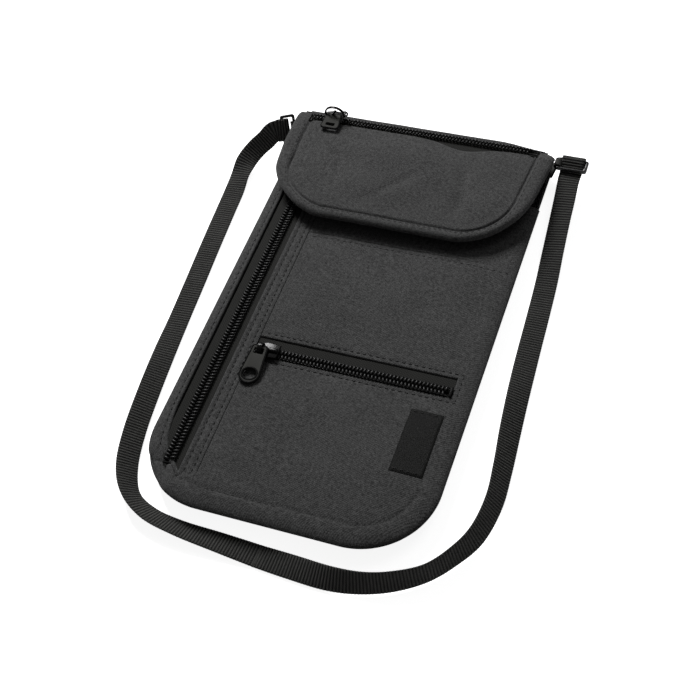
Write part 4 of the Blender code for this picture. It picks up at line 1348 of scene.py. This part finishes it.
class POUCH_OT_zips(PouchOperator, bpy.types.Operator):
    """Three coil zips: tapes, interlocking teeth and end stops"""

    bl_idname = "neck_pouch.zips"
    bl_label = "Zips"

    centre_gap = 0.12 * MM
    top_reach = 1.6 * MM
    top_run_out = 3.0 * MM
    stop_sink = 1.2 * MM
    stop_bevel = 0.3 * MM
    outline_margin = 7.2 * MM
    tape_cell = 1.2 * MM
    tape_sway = 0.12 * MM
    tape_thickness = 0.3 * MM
    tooth_start = 0.35
    tooth_lean = math.radians(14)
    tooth_thickness = 0.95 * MM
    tooth_play = 0.05 * MM
    tooth_bevel = 0.24 * MM
    # Where the rope begins, from the outer end of the teeth, on the zip's low and high side
    rope_start = {-1: 0.1 * MM, 1: -0.55 * MM}
    rope_width = 0.45 * MM
    rope_rise = 0.1 * MM
    rope_bevel = 0.18 * MM
    # Where the top zip bends forward, and where, in millimetres, its rope is cut so that it can
    bend_forward = 1.1 * MM
    bend_start_x = 48 * MM
    bend_run = 12 * MM
    bend_cuts = range(36, 60, 4)
    # How far a tape runs on under the cloth: x and y of its low and its high corner, in millimetres
    hidden_margins = {
        "side_zip_left": ((-2.0, -2.5), (0, 0)),
        "side_zip_right": ((0, -4.0), (1.0, 0)),
        "top_zip_front": ((-3.8, -4.6), (2.5, 0.45)),
        "top_zip_rear": ((-3.8, -0.45), (2.5, 0)),
    }

    def build(self, context):
        self.whole_zip("side_zip", ("left", "right"), "pouch", 1)
        self.whole_zip("front_zip", ("lower", "upper"), "pouch", 0)
        self.whole_zip("top_zip", ("front", "rear"), "flap", 0)

    def whole_zip(self, name, words, body, axis):
        """Both sides of a zip that runs along x or y, and its stops."""
        low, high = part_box(f"{name}_{words[0]}_coil"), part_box(f"{name}_{words[1]}_coil")
        middle = (low[1][1 - axis] + high[0][1 - axis]) / 2
        for offset, (word, sign) in enumerate(zip(words, (-1, 1))):
            self.tape(f"{name}_{word}", body)
            self.teeth(f"{name}_{word}", body, axis, middle, sign, offset * 0.5)
        bm = bmesh.new()
        nodes = [node for node in frame["nodes"] if node.startswith(name) and node.endswith("_stop")]
        for node in nodes:
            stop_low, stop_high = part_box(node)
            if name == "top_zip" or node == "side_zip_end_stop":
                sunk = Vector((0, self.bend(stop_low.x), self.stop_sink))
                stop_low -= sunk
                stop_high -= sunk
            rounded_box(bm, stop_low, stop_high, self.stop_bevel)
        piece(name + "_stops", bm, rim_enamel(), body, nodes, sharp=50)

    def bend(self, x):
        """How far the top zip's teeth come forward with the cloth behind them."""
        return self.bend_forward * ease((x - self.bend_start_x) / self.bend_run)

    def tape(self, name, body):
        low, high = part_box(name + "_tape")
        for corner, grown in zip((low, high), self.hidden_margins.get(name, ((0, 0), (0, 0)))):
            corner.x += grown[0] * MM
            corner.y += grown[1] * MM
        bm, places = flat_grid(*(max(4, round((high[i] - low[i]) / self.tape_cell)) for i in (0, 1)))
        for vert, u, v in places:
            x = low.x + u * (high.x - low.x)
            y = low.y + v * (high.y - low.y)
            if body == "pouch":
                x = max(x, self.outline_margin - tongue_reach(y, *body_outline()))
            elif name.endswith("rear"):
                y = min(y, high.y - rear_sag(x))
            sway = self.tape_sway * noise.noise(Vector((x * 120, y * 120, 4.0)))
            vert.co = (x, y, high.z - self.tape_sway + sway)
        finish = plain_cloth("Zip tape", 0.6 * MM, 0.4, 0.8)
        made = piece(name + "_woven", bm, finish, body, [name + "_tape"])
        thicken(made, self.tape_thickness)

    def teeth(self, name, body, axis, middle, sign, phase):
        """A row of slanted teeth with rounded edges, and the rope that they are sewn on with."""
        low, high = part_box(name + "_coil")
        pitch = sizes().tooth_pitch
        on_top = name.startswith("top")
        inner = middle + sign * self.centre_gap
        outer = low[1 - axis] if sign < 0 else high[1 - axis]
        end = high[axis]
        if on_top:
            outer = middle + sign * self.top_reach
            end = high[axis] - self.top_run_out
        height = (low.z + high.z) / 2
        turn = self.tooth_lean * sign * (1 if axis else -1)
        heading = Matrix.Rotation(turn + (0 if axis else math.pi / 2), 4, "Z")
        size = (abs(outer - inner), self.tooth_thickness, high.z - low.z - self.tooth_play, 1.0)
        shape = Matrix.Diagonal(size)
        bm = bmesh.new()
        for i in range(int((end - low[axis]) / pitch)):
            centre = Vector((0, 0, height))
            centre[axis] = low[axis] + (i + self.tooth_start + phase) * pitch
            centre[1 - axis] = (inner + outer) / 2
            bmesh.ops.create_cube(bm, size=1.0, matrix=Matrix.Translation(centre) @ heading @ shape)
        round_edges(bm, bm.edges[:], self.tooth_bevel, 1)
        rope_low = low.copy()
        rope_high = high.copy()
        rope_low[1 - axis] = outer + self.rope_start[sign]
        rope_high[1 - axis] = rope_low[1 - axis] + self.rope_width
        rope_high.z = height + self.rope_rise
        rounded_box(bm, rope_low, rope_high, self.rope_bevel)
        if on_top:
            for place in self.bend_cuts:
                slice_at(bm, "x", place * MM)
            for vert in bm.verts:
                vert.co.y -= self.bend(vert.co.x)
        finish = hard_finish("Nylon coil", 0.36, 0.16, 0.01 * MM)
        piece(name + "_teeth", bm, finish, body, [name + "_coil"])


class POUCH_OT_sliders(PouchOperator, bpy.types.Operator):
    """Enamelled sliders with their bridges, and the pull tabs that hang on them"""

    bl_idname = "neck_pouch.sliders"
    bl_label = "Sliders and pullers"

    length = 9.4 * MM
    width = 7.6 * MM
    nose = 5.2 * MM
    tail = 6.8 * MM
    shoulder = 1.1 * MM
    bridge_radius = 2.25 * MM
    bridge_half_width = 1.1 * MM
    plate_drop = 1.85 * MM
    plate_thickness = 1.0 * MM
    plate_bevel = 0.32 * MM
    under_shares = (0.5, 0.3)
    under_thickness = 0.6 * MM
    under_bevel = 0.2 * MM
    core_half = (0.5 * MM, 0.04 * MM, 0.0)
    core_place = 3.4 * MM
    core_bevel = 0.01 * MM
    core_overlap = (0.3 * MM, 0.5 * MM)
    arch_sink = 0.2 * MM
    bridge_sink = 0.1 * MM
    bow_half_thickness = 0.38 * MM
    arch_half = 4.8 * MM
    arch_rise = 5.0 * MM
    arch_shift = 1.0 * MM
    tail_ring = (5.4 * MM, 2.0 * MM)
    tail_ring_radius = 1.2 * MM
    crown_low = (0.1 * MM, -0.95 * MM, -0.4 * MM)
    crown_high = (4.5 * MM, 0.95 * MM, 1.1 * MM)
    crown_bevel = 0.7 * MM
    tab_half_thickness = 0.38 * MM
    tab_bevel = 0.16 * MM
    droop = {"side": math.radians(3.5), "front": math.radians(5)}
    pivots = {"side": "side_puller_swivel", "front": "front_puller_flip", "top": "top_puller_flip"}
    # The front puller hangs at the nose of its slider
    hang = {"side": 0.0, "front": -3.4 * MM, "top": 0.0}

    def build(self, context):
        for word, joint in self.pivots.items():
            pivot = Vector(JOINTS[joint]["pos_m"])
            self.slider(word, pivot)
            hung = pivot + Vector((self.hang[word], 0, 0))
            if word == "top":
                self.broad_puller(hung)
            else:
                self.round_puller(word, hung)

    def outline(self):
        """The plate of a slider, from its nose to its tail."""
        half = self.length / 2
        left = [(-half, -self.nose / 2), (-self.shoulder, -self.width / 2), (half, -self.tail / 2)]
        return left + [(x, -y) for x, y in left[::-1]]

    def slider(self, word, pivot):
        low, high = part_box(word + "_slider")
        turn = Matrix.Rotation(math.pi / 2 if word == "side" else 0.0, 4, "Z")
        place = Matrix.Translation((pivot.x, pivot.y, 0)) @ turn
        plate_low = pivot.z - self.plate_drop
        plate_high = plate_low + self.plate_thickness
        bm = bmesh.new()
        rounded_plate(bm, [self.outline()], plate_low, plate_high, self.plate_bevel, place)
        along, across = self.under_shares
        under = [(along * x, across * y) for x, y in self.outline()]
        rounded_plate(bm, [under], low.z, low.z + self.under_thickness, self.under_bevel, place)
        core = Vector(self.core_half)
        base = Vector((pivot.x - self.core_place, pivot.y, 0))
        if word == "side":
            core = core.yxz
            base = Vector((pivot.x, pivot.y + self.core_place, 0))
        below, above = self.core_overlap
        core_low = base - core + Vector((0, 0, low.z + below))
        rounded_box(bm, core_low, base + core + Vector((0, 0, plate_low + above)), self.core_bevel)
        if word == "top":
            self.arch(bm, pivot, plate_high - self.arch_sink)
        else:
            hung = pivot + Vector((self.hang[word], 0, 0))
            self.bridge(bm, hung, plate_high - self.bridge_sink, high.z)
        if word == "front":
            self.crown(bm, pivot, plate_high)
        bmesh.ops.recalc_face_normals(bm, faces=bm.faces)
        body = word + "_slider"
        piece(word + "_zip_slider", bm, slider_enamel(), body, [word + "_slider"], sharp=40)

    def bridge(self, bm, pivot, foot, top):
        """A bow across the slider, over the pull tab's end."""
        section = bar_section(self.bridge_half_width, self.bow_half_thickness, 0.3 * MM)
        rise = top - foot - self.bow_half_thickness
        stations = []
        for angle in range(0, 181, 12):
            cos, sin = cos_sin(angle)
            point = Vector((pivot.x, pivot.y + self.bridge_radius * cos, foot + rise * sin))
            up = Vector((0, cos / self.bridge_radius, sin / rise)).normalized()
            stations.append((point, Vector((1, 0, 0)), up))
        sweep(bm, stations, section)

    def arch(self, bm, pivot, foot):
        """A long bow along the top slider, from its nose to its tail, and a small ring at its tail."""
        half, rise = self.arch_half, self.arch_rise
        across = Vector((0, 1, 0))
        y = pivot.y + self.arch_shift
        stations = []
        for angle in range(0, 181, 9):
            cos, sin = cos_sin(angle)
            point = Vector((pivot.x + half * cos, y, foot + rise * sin**0.8))
            up = Vector((cos / half, 0, sin / rise)).normalized()
            stations.append((point, across, up))
        sweep(bm, stations, bar_section(0.6 * MM, 0.4 * MM, 0.28 * MM))
        ring_x, ring_z = self.tail_ring
        centre = Vector((pivot.x + ring_x, y, foot + ring_z))
        stations = []
        for angle in range(0, 360, 30):
            cos, sin = cos_sin(angle)
            out = Vector((cos, 0, sin))
            stations.append((centre + out * self.tail_ring_radius, across, out))
        sweep(bm, stations, bar_section(0.4 * MM, 0.35 * MM, 0.2 * MM), closed=True)

    def crown(self, bm, pivot, foot):
        """A rounded ridge along the slider's plate, behind its bridge."""
        low, high = (
            Vector((pivot.x + x, pivot.y + y, foot + z)) for x, y, z in (self.crown_low, self.crown_high)
        )
        rounded_box(bm, low, high, self.crown_bevel, 4)

    def round_puller(self, word, pivot):
        """A flat tab with an eye for the bridge and a round end with a large hole, both in a dark rim: beads
        round its outline and its hole that are partly its own dark edge and partly painted shade.
        """
        neck, tip, hole, corner = 3.3 * MM, 4.3 * MM, 3.1 * MM, 1 * MM
        tip_y = tip - 17.8 * MM
        shoulder_y = -0.5 * MM
        squash = 0.86
        outline = arc((-neck + corner, shoulder_y), corner, 90, 180, 5)
        outline += arc((0, tip_y), tip, 168, 372, 24)
        outline += arc((neck - corner, shoulder_y), corner, 0, 90, 5)
        eye = rounded_rectangle((-2.2 * MM, -3.5 * MM), (2.2 * MM, -0.7 * MM), 0.4 * MM)
        opening, hole_edge_and_shade = (
            [(x, tip_y + squash * y) for x, y in arc((0, 0), radius, 0, 345, 23)]
            for radius in (hole, hole + 0.35 * MM)
        )
        turn = Matrix.Rotation(math.pi if word == "side" else 0.0, 4, "Z")
        place = Matrix.Translation(pivot) @ turn @ Matrix.Rotation(self.droop[word], 4, "X")
        self.puller(word, [outline, eye, opening], [(outline, 0.52 * MM), (hole_edge_and_shade, 0.58 * MM)], place)

    def broad_puller(self, pivot):
        """A short tab that widens to a square end with a slot, held by a bar under the slider's bow."""
        neck, end, length = 3.5 * MM, 4.2 * MM, 8.6 * MM
        top_corner, end_corner = 0.8 * MM, 1.3 * MM
        top = pivot + Vector((0, 0.4 * MM, -0.2 * MM))
        outline = arc((-neck + top_corner, -top_corner), top_corner, 90, 180, 5)
        outline += arc((-end + end_corner, -length + end_corner), end_corner, 180, 270, 6)
        outline += arc((end - end_corner, -length + end_corner), end_corner, 270, 360, 6)
        outline += arc((neck - top_corner, -top_corner), top_corner, 0, 90, 5)
        slot = rounded_rectangle((-2.3 * MM, -7.4 * MM), (2.3 * MM, -5.6 * MM), 0.5 * MM)
        place = Matrix.Translation(top) @ Matrix.Rotation(math.radians(3), 4, "X")
        bar = [Vector((-1.0, -0.5, 0.0)), Vector((0.0, -0.3, 1.3)), Vector((0.9, -0.3, 3.0))]
        rise = (bar[2] - bar[0]).normalized()
        across = Vector((0, 1, 0))
        stations = [(top + point * MM, across, rise.cross(across)) for point in bar]
        # The dark bead round its outline is partly its own dark edge, partly painted shade.
        self.puller("top", [outline, slot], [(outline, 0.45 * MM)], place, stations)

    def puller(self, word, loops, rims, place, stations=()):
        """A tab with its holes, dark beads along some of its lines, partly its own dark edge and partly
        painted shade, and a bar through stations at its top.
        """
        bm = bmesh.new()
        rounded_plate(bm, loops, -self.tab_half_thickness, self.tab_half_thickness, self.tab_bevel, place)
        plate = set(bm.faces)
        for loop, radius in rims:
            self.rim(bm, loop, radius, place)
        if stations:
            sweep(bm, stations, bar_section(0.4 * MM, 0.5 * MM, 0.25 * MM))
        for face in bm.faces:
            if face not in plate:
                face.material_index = 1
        bmesh.ops.recalc_face_normals(bm, faces=bm.faces)
        # The beads are in the dark rim enamel: partly the tab's own dark edge, partly painted shade along
        # its outline and round its hole.
        finishes = [hard_finish("Puller enamel", 0.7, 0.03, 0.02 * MM), rim_enamel()]
        body = word + "_puller"
        piece(word + "_pull_tab", bm, finishes, body, [word + "_puller"], sharp=40)

    def rim(self, bm, loop, radius, place):
        """A round bead that follows a closed line; on a pull tab it stands partly for a dark edge and partly
        for painted shade.
        """
        points = [Vector((x, y, 0)) for x, y in loop]
        turned = place.to_3x3()
        stations = []
        for i, point in enumerate(points):
            along = (points[(i + 1) % len(points)] - points[i - 1]).normalized()
            side = Vector((-along.y, along.x, 0))
            stations.append((place @ point, turned @ side, turned @ Vector((0, 0, 1))))
        sweep(bm, stations, arc((0, 0), radius, 0, 315, 7), closed=True)


class POUCH_OT_flap(PouchOperator, bpy.types.Operator):
    """Front flap with its turned edge, its lining, and the fold that joins it to the back"""

    bl_idname = "neck_pouch.flap"
    bl_label = "Flap"

    tab_drop = 0.7 * MM
    root_drop = 0.35 * MM
    root_run = 6 * MM
    edge_roll = 1.0 * MM
    edge_fade = 1.5 * MM
    lining_end = 4 * MM
    lining_sway = 0.2 * MM
    lining_set_in = 0.15 * MM
    lining_gap = 0.1 * MM
    lining_thickness = 0.5 * MM
    # The fold from the top of the back round to the zip: y and z in millimetres
    fold_line = (
        *((106.7, 12.0), (107.0, 13.6), (107.5, 15.0), (107.7, 16.2)),
        *((107.5, 17.0), (106.9, 17.35), (106.0, 17.3), (105.4, 17.1)),
    )
    # Where the fold begins to come forward with the zip, and over how much: y and z in millimetres
    sag_start = (103.4, 13)
    sag_run = (4.3, 3)
    sag_fall = 0.2
    fold_columns = 70
    fold_sway = 0.12 * MM
    fold_thickness = 0.5 * MM

    def build(self, context):
        self.outer()
        self.lining()
        self.fold()

    def outer(self):
        """One cloth, cut out for the zip between two tabs that fold over its ends."""
        half_width, bottom, radius = flap_outline()
        bm = tongue_grid(half_width, CUT_TOP, bottom, radius, sizes().cell)
        slice_at(bm, "y", FLAP_HIGH.y)
        score(bm, "y", FLAP_HIGH.y, -1)
        for place in (CUT_LOW, CUT_HIGH):
            slice_at(bm, "x", place)
        drop_faces(bm, lambda x, y: y > FLAP_HIGH.y and CUT_LOW < x < CUT_HIGH)
        raise_to(bm, self.outer_height)
        move_flat(bm, flap_place)
        nodes = ["flap_outer", "top_zip_left_tab", "top_zip_right_tab"]
        made = piece("flap_cloth", bm, heather_cloth(), "flap", nodes)
        thicken(made, sizes().cloth_thickness)

    def outer_height(self, x, y):
        """The cloth's own height, less its fall towards the root and its folded edge beside the zip."""
        rear = self.tab_drop * ease((y - FLAP_HIGH.y) / self.root_run) + roll(CUT_TOP - y, self.edge_roll)
        rear += self.root_drop * ease((y - FLAP_HIGH.y + self.root_run) / self.root_run)
        inside = ease(min(x - CUT_LOW, CUT_HIGH - x) / self.edge_fade)
        return flap_height(x, y) - rear - roll(FLAP_HIGH.y - y, self.edge_roll) * inside

    def lining(self):
        low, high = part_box("flap_lining")
        radius = sizes().flap_radius - (FLAP_HIGH.x - high.x)
        bm = tongue_grid(high.x, high.y - self.lining_end, low.y, radius, sizes().cell)
        raise_to(bm, lambda x, y: self.lining_height(x, y, high.z))
        move_flat(bm, flap_place)
        made = piece("flap_lining_cloth", bm, lining_cloth(), "flap", ["flap_lining"])
        thicken(made, self.lining_thickness)

    def lining_height(self, x, y, top):
        """Near the top of its solid, and always below the outer cloth."""
        ripple = self.lining_sway * noise.noise(Vector((x * 40, y * 40, 7.0)))
        below = flap_height(x, y) - sizes().cloth_thickness - self.lining_gap
        return min(top - self.lining_set_in + ripple, below)

    def fold(self):
        """A strip of cloth from the top of the back, round the edge, to the zip's rear tape."""
        (start_y, start_z), (run_y, run_z) = self.sag_start, self.sag_run
        rows = len(self.fold_line) - 1
        bm, places = flat_grid(self.fold_columns, rows)
        for vert, _, v in places:
            y, z = self.fold_line[round(v * rows)]
            x = 2 * vert.co.x * GUSSET_HIGH.x
            sway = self.fold_sway * noise.noise(Vector((x * 60, y, 3.0)))
            sag = rear_sag(x) * ease((z - start_z) / run_z) * (y - start_y) / run_y
            vert.co = (x, y * MM + sway - sag, z * MM - self.sag_fall * sag)
        bmesh.ops.subdivide_edges(bm, edges=bm.edges[:], cuts=1, use_grid_fill=True, smooth=0.6)
        bmesh.ops.recalc_face_normals(bm, faces=bm.faces)
        made = piece("hinge_fold", bm, heather_cloth(), None)
        solid = bmesh.new()
        solid.from_mesh(made.data)
        bmesh.ops.solidify(solid, geom=solid.faces[:], thickness=self.fold_thickness)
        solid.to_mesh(made.data)
        solid.free()
        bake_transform(made)


class POUCH_OT_closure(PouchOperator, bpy.types.Operator):
    """Hook and loop patches, and the bare woven label"""

    bl_idname = "neck_pouch.closure"
    bl_label = "Closure and label"

    backing_bevel = 0.35 * MM
    tuft_step = 1.5 * MM
    tuft_shape = (0.32 * MM, 0.5 * MM, 0.34 * MM, 1.0)
    tuft_stray = 0.3 * MM
    label_rise = 0.45 * MM
    label_sway = 0.06 * MM
    label_roll = 0.3 * MM
    label_thickness = 0.35 * MM

    def build(self, context):
        self.patch("loop_pile", "loop_patch", "pouch", 1)
        self.patch("hook_field", "hook_patch", "flap", -1)
        self.label()

    def patch(self, name, node, body, up):
        """A backing with rows of small tufts on its upper or its lower face."""
        low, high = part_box(node)
        bm = bmesh.new()
        rounded_box(bm, low, high, self.backing_bevel, 3)
        face_z = high.z if up > 0 else low.z
        step = self.tuft_step
        for i in range(int((high.x - low.x) / step) - 1):
            for k in range(int((high.y - low.y) / step) - 1):
                centre = Vector((low.x + (i + 1) * step, low.y + (k + 1) * step, face_z))
                centre.x += self.tuft_stray * noise.noise(centre * 900)
                place = Matrix.Translation(centre) @ Matrix.Diagonal(self.tuft_shape)
                bmesh.ops.create_icosphere(bm, subdivisions=1, radius=1.0, matrix=place)
        piece(name, bm, closure_tape(), body, [node])

    def label(self):
        low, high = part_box("woven_label")
        bm, places = flat_grid(20, 40)
        for vert, u, v in places:
            x = low.x + u * (high.x - low.x)
            y = low.y + v * (high.y - low.y)
            edge = min(x - low.x, high.x - x, y - low.y, high.y - y)
            sway = self.label_sway * noise.noise(Vector((x * 150, y * 150, 6.0)))
            vert.co = (x, y, front_height(x, y) + self.label_rise + sway - roll(edge, self.label_roll))
        finish = plain_cloth("Label", 0.3 * MM, 0.25, 0.55)
        made = piece("bare_label", bm, finish, "pouch", ["woven_label"])
        thicken(made, self.label_thickness)


class POUCH_OT_stitching(PouchOperator, bpy.types.Operator):
    """Rows of stitches on the flap, beside the zips, across the front and on the label"""

    bl_idname = "neck_pouch.stitching"
    bl_label = "Stitching"

    flap_top_y = 98 * MM
    flap_row_out = 1.5 * MM
    facing_end_y = -94 * MM
    left_end_y = -86 * MM
    mouth_gap = 3 * MM
    bottom_row = ((-33 * MM, -99 * MM), (2 * MM, -99 * MM))
    below_start = 4 * MM
    seam_gap = 2 * MM
    across_rows = (HEM_LINE_Y - 2 * MM, MOUTH_Y - 4 * MM)
    across_end_x = 60 * MM
    label_inset = (0.6 * MM, 1.2 * MM)
    label_rise = 0.5 * MM

    def build(self, context):
        self.sew("flap_stitches", "flap", "fabric", self.flap_rows())
        self.sew("side_zip_stitches", "pouch", "fabric", self.side_rows())
        self.sew("front_stitches", "pouch", "fabric", self.front_rows())
        self.sew("label_stitches", "pouch", "label", self.label_rows())

    def sew(self, name, body, slot, rows):
        """One piece from rows of points, each with the height of its cloth and how that is moved."""
        bm = bmesh.new()
        for row in rows:
            stitch_along(bm, *row)
        piece(name, bm, sewing_thread(), body)

    def flap_rows(self):
        """A row outside the groove of the flap's turned edge."""
        half_width, bottom, radius = flap_outline()
        line = []
        for point in tongue_line(half_width, self.flap_top_y, bottom, radius, 0.0):
            inset = flap_band(point[1]) - self.flap_row_out
            near = tongue_line(half_width, self.flap_top_y, bottom, radius, inset)
            line.append(min(near, key=lambda other: math.dist(other, point)))
        return [(line, flap_height, flap_place)]

    def side_rows(self):
        """Two rows on the facing, one left of the opening, one below it and one above the bottom edge."""
        top = MOUTH_Y - self.mouth_gap
        rows = [(straight((x, self.facing_end_y), (x, top)), front_height) for x in FACING_ROWS]
        left = SIDE_SLOT_LEFT - STITCH_INSET
        below = SIDE_SLOT_END - STITCH_INSET
        under = straight((left + self.below_start, below), (SIDE_SLOT_RIGHT, below))
        rows.append((straight((left, self.left_end_y), (left, top)), front_height, side_warp))
        rows.append((under, front_height, side_warp))
        rows.append((straight(*self.bottom_row), front_height))
        return rows

    def front_rows(self):
        """Rows round the front zip's opening, across the front and along its mouth."""
        start = SEAM_X + self.seam_gap
        end = FRONT_SLOT_END + STITCH_INSET
        low, high = FRONT_SLOT_BOTTOM - STITCH_INSET, FRONT_SLOT_TOP + STITCH_INSET
        lines = [((start, high), (end, high)), ((start, low), (end, low)), ((end, low), (end, high))]
        lines += [((start, y), (self.across_end_x, y)) for y in self.across_rows]
        return [(straight(*line), front_height) for line in lines]

    def label_rows(self):
        """A row along the top and along the bottom of the label."""
        low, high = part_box("woven_label")
        inset_x, inset_y = self.label_inset
        lines = [
            straight((low.x + inset_x, y), (high.x - inset_x, y))
            for y in (low.y + inset_y, high.y - inset_y)
        ]
        return [(line, lambda x, y: front_height(x, y) + self.label_rise) for line in lines]


class POUCH_PT_panel(bpy.types.Panel):
    """Sidebar panel with the sizes, the colours and one button for each group of pieces"""

    bl_idname = "POUCH_PT_panel"
    bl_label = "Neck Pouch"
    bl_space_type = "VIEW_3D"
    bl_region_type = "UI"
    bl_category = "Neck Pouch"

    def draw(self, context):
        for group in (context.scene.pouch_sizes, context.scene.pouch_colours):
            column = self.layout.column()
            for key in group.__annotations__:
                column.prop(group, key)
        for operator in OPERATORS:
            self.layout.operator(operator.bl_idname)


OPERATORS = (
    POUCH_OT_stage,
    POUCH_OT_strap,
    POUCH_OT_rings,
    POUCH_OT_shell,
    POUCH_OT_front,
    POUCH_OT_zips,
    POUCH_OT_sliders,
    POUCH_OT_flap,
    POUCH_OT_closure,
    POUCH_OT_stitching,
)
CLASSES = (PouchSizes, PouchColours, *OPERATORS, POUCH_PT_panel)


def register():
    for cls in CLASSES:
        bpy.utils.register_class(cls)
    bpy.types.Scene.pouch_sizes = PointerProperty(type=PouchSizes)
    bpy.types.Scene.pouch_colours = PointerProperty(type=PouchColours)


def unregister():
    del bpy.types.Scene.pouch_colours
    del bpy.types.Scene.pouch_sizes
    for cls in reversed(CLASSES):
        bpy.utils.unregister_class(cls)


def main():
    register()
    for operator in OPERATORS:
        group, name = operator.bl_idname.split(".")
        getattr(getattr(bpy.ops, group), name)()


if __name__ == "__main__":
    main()
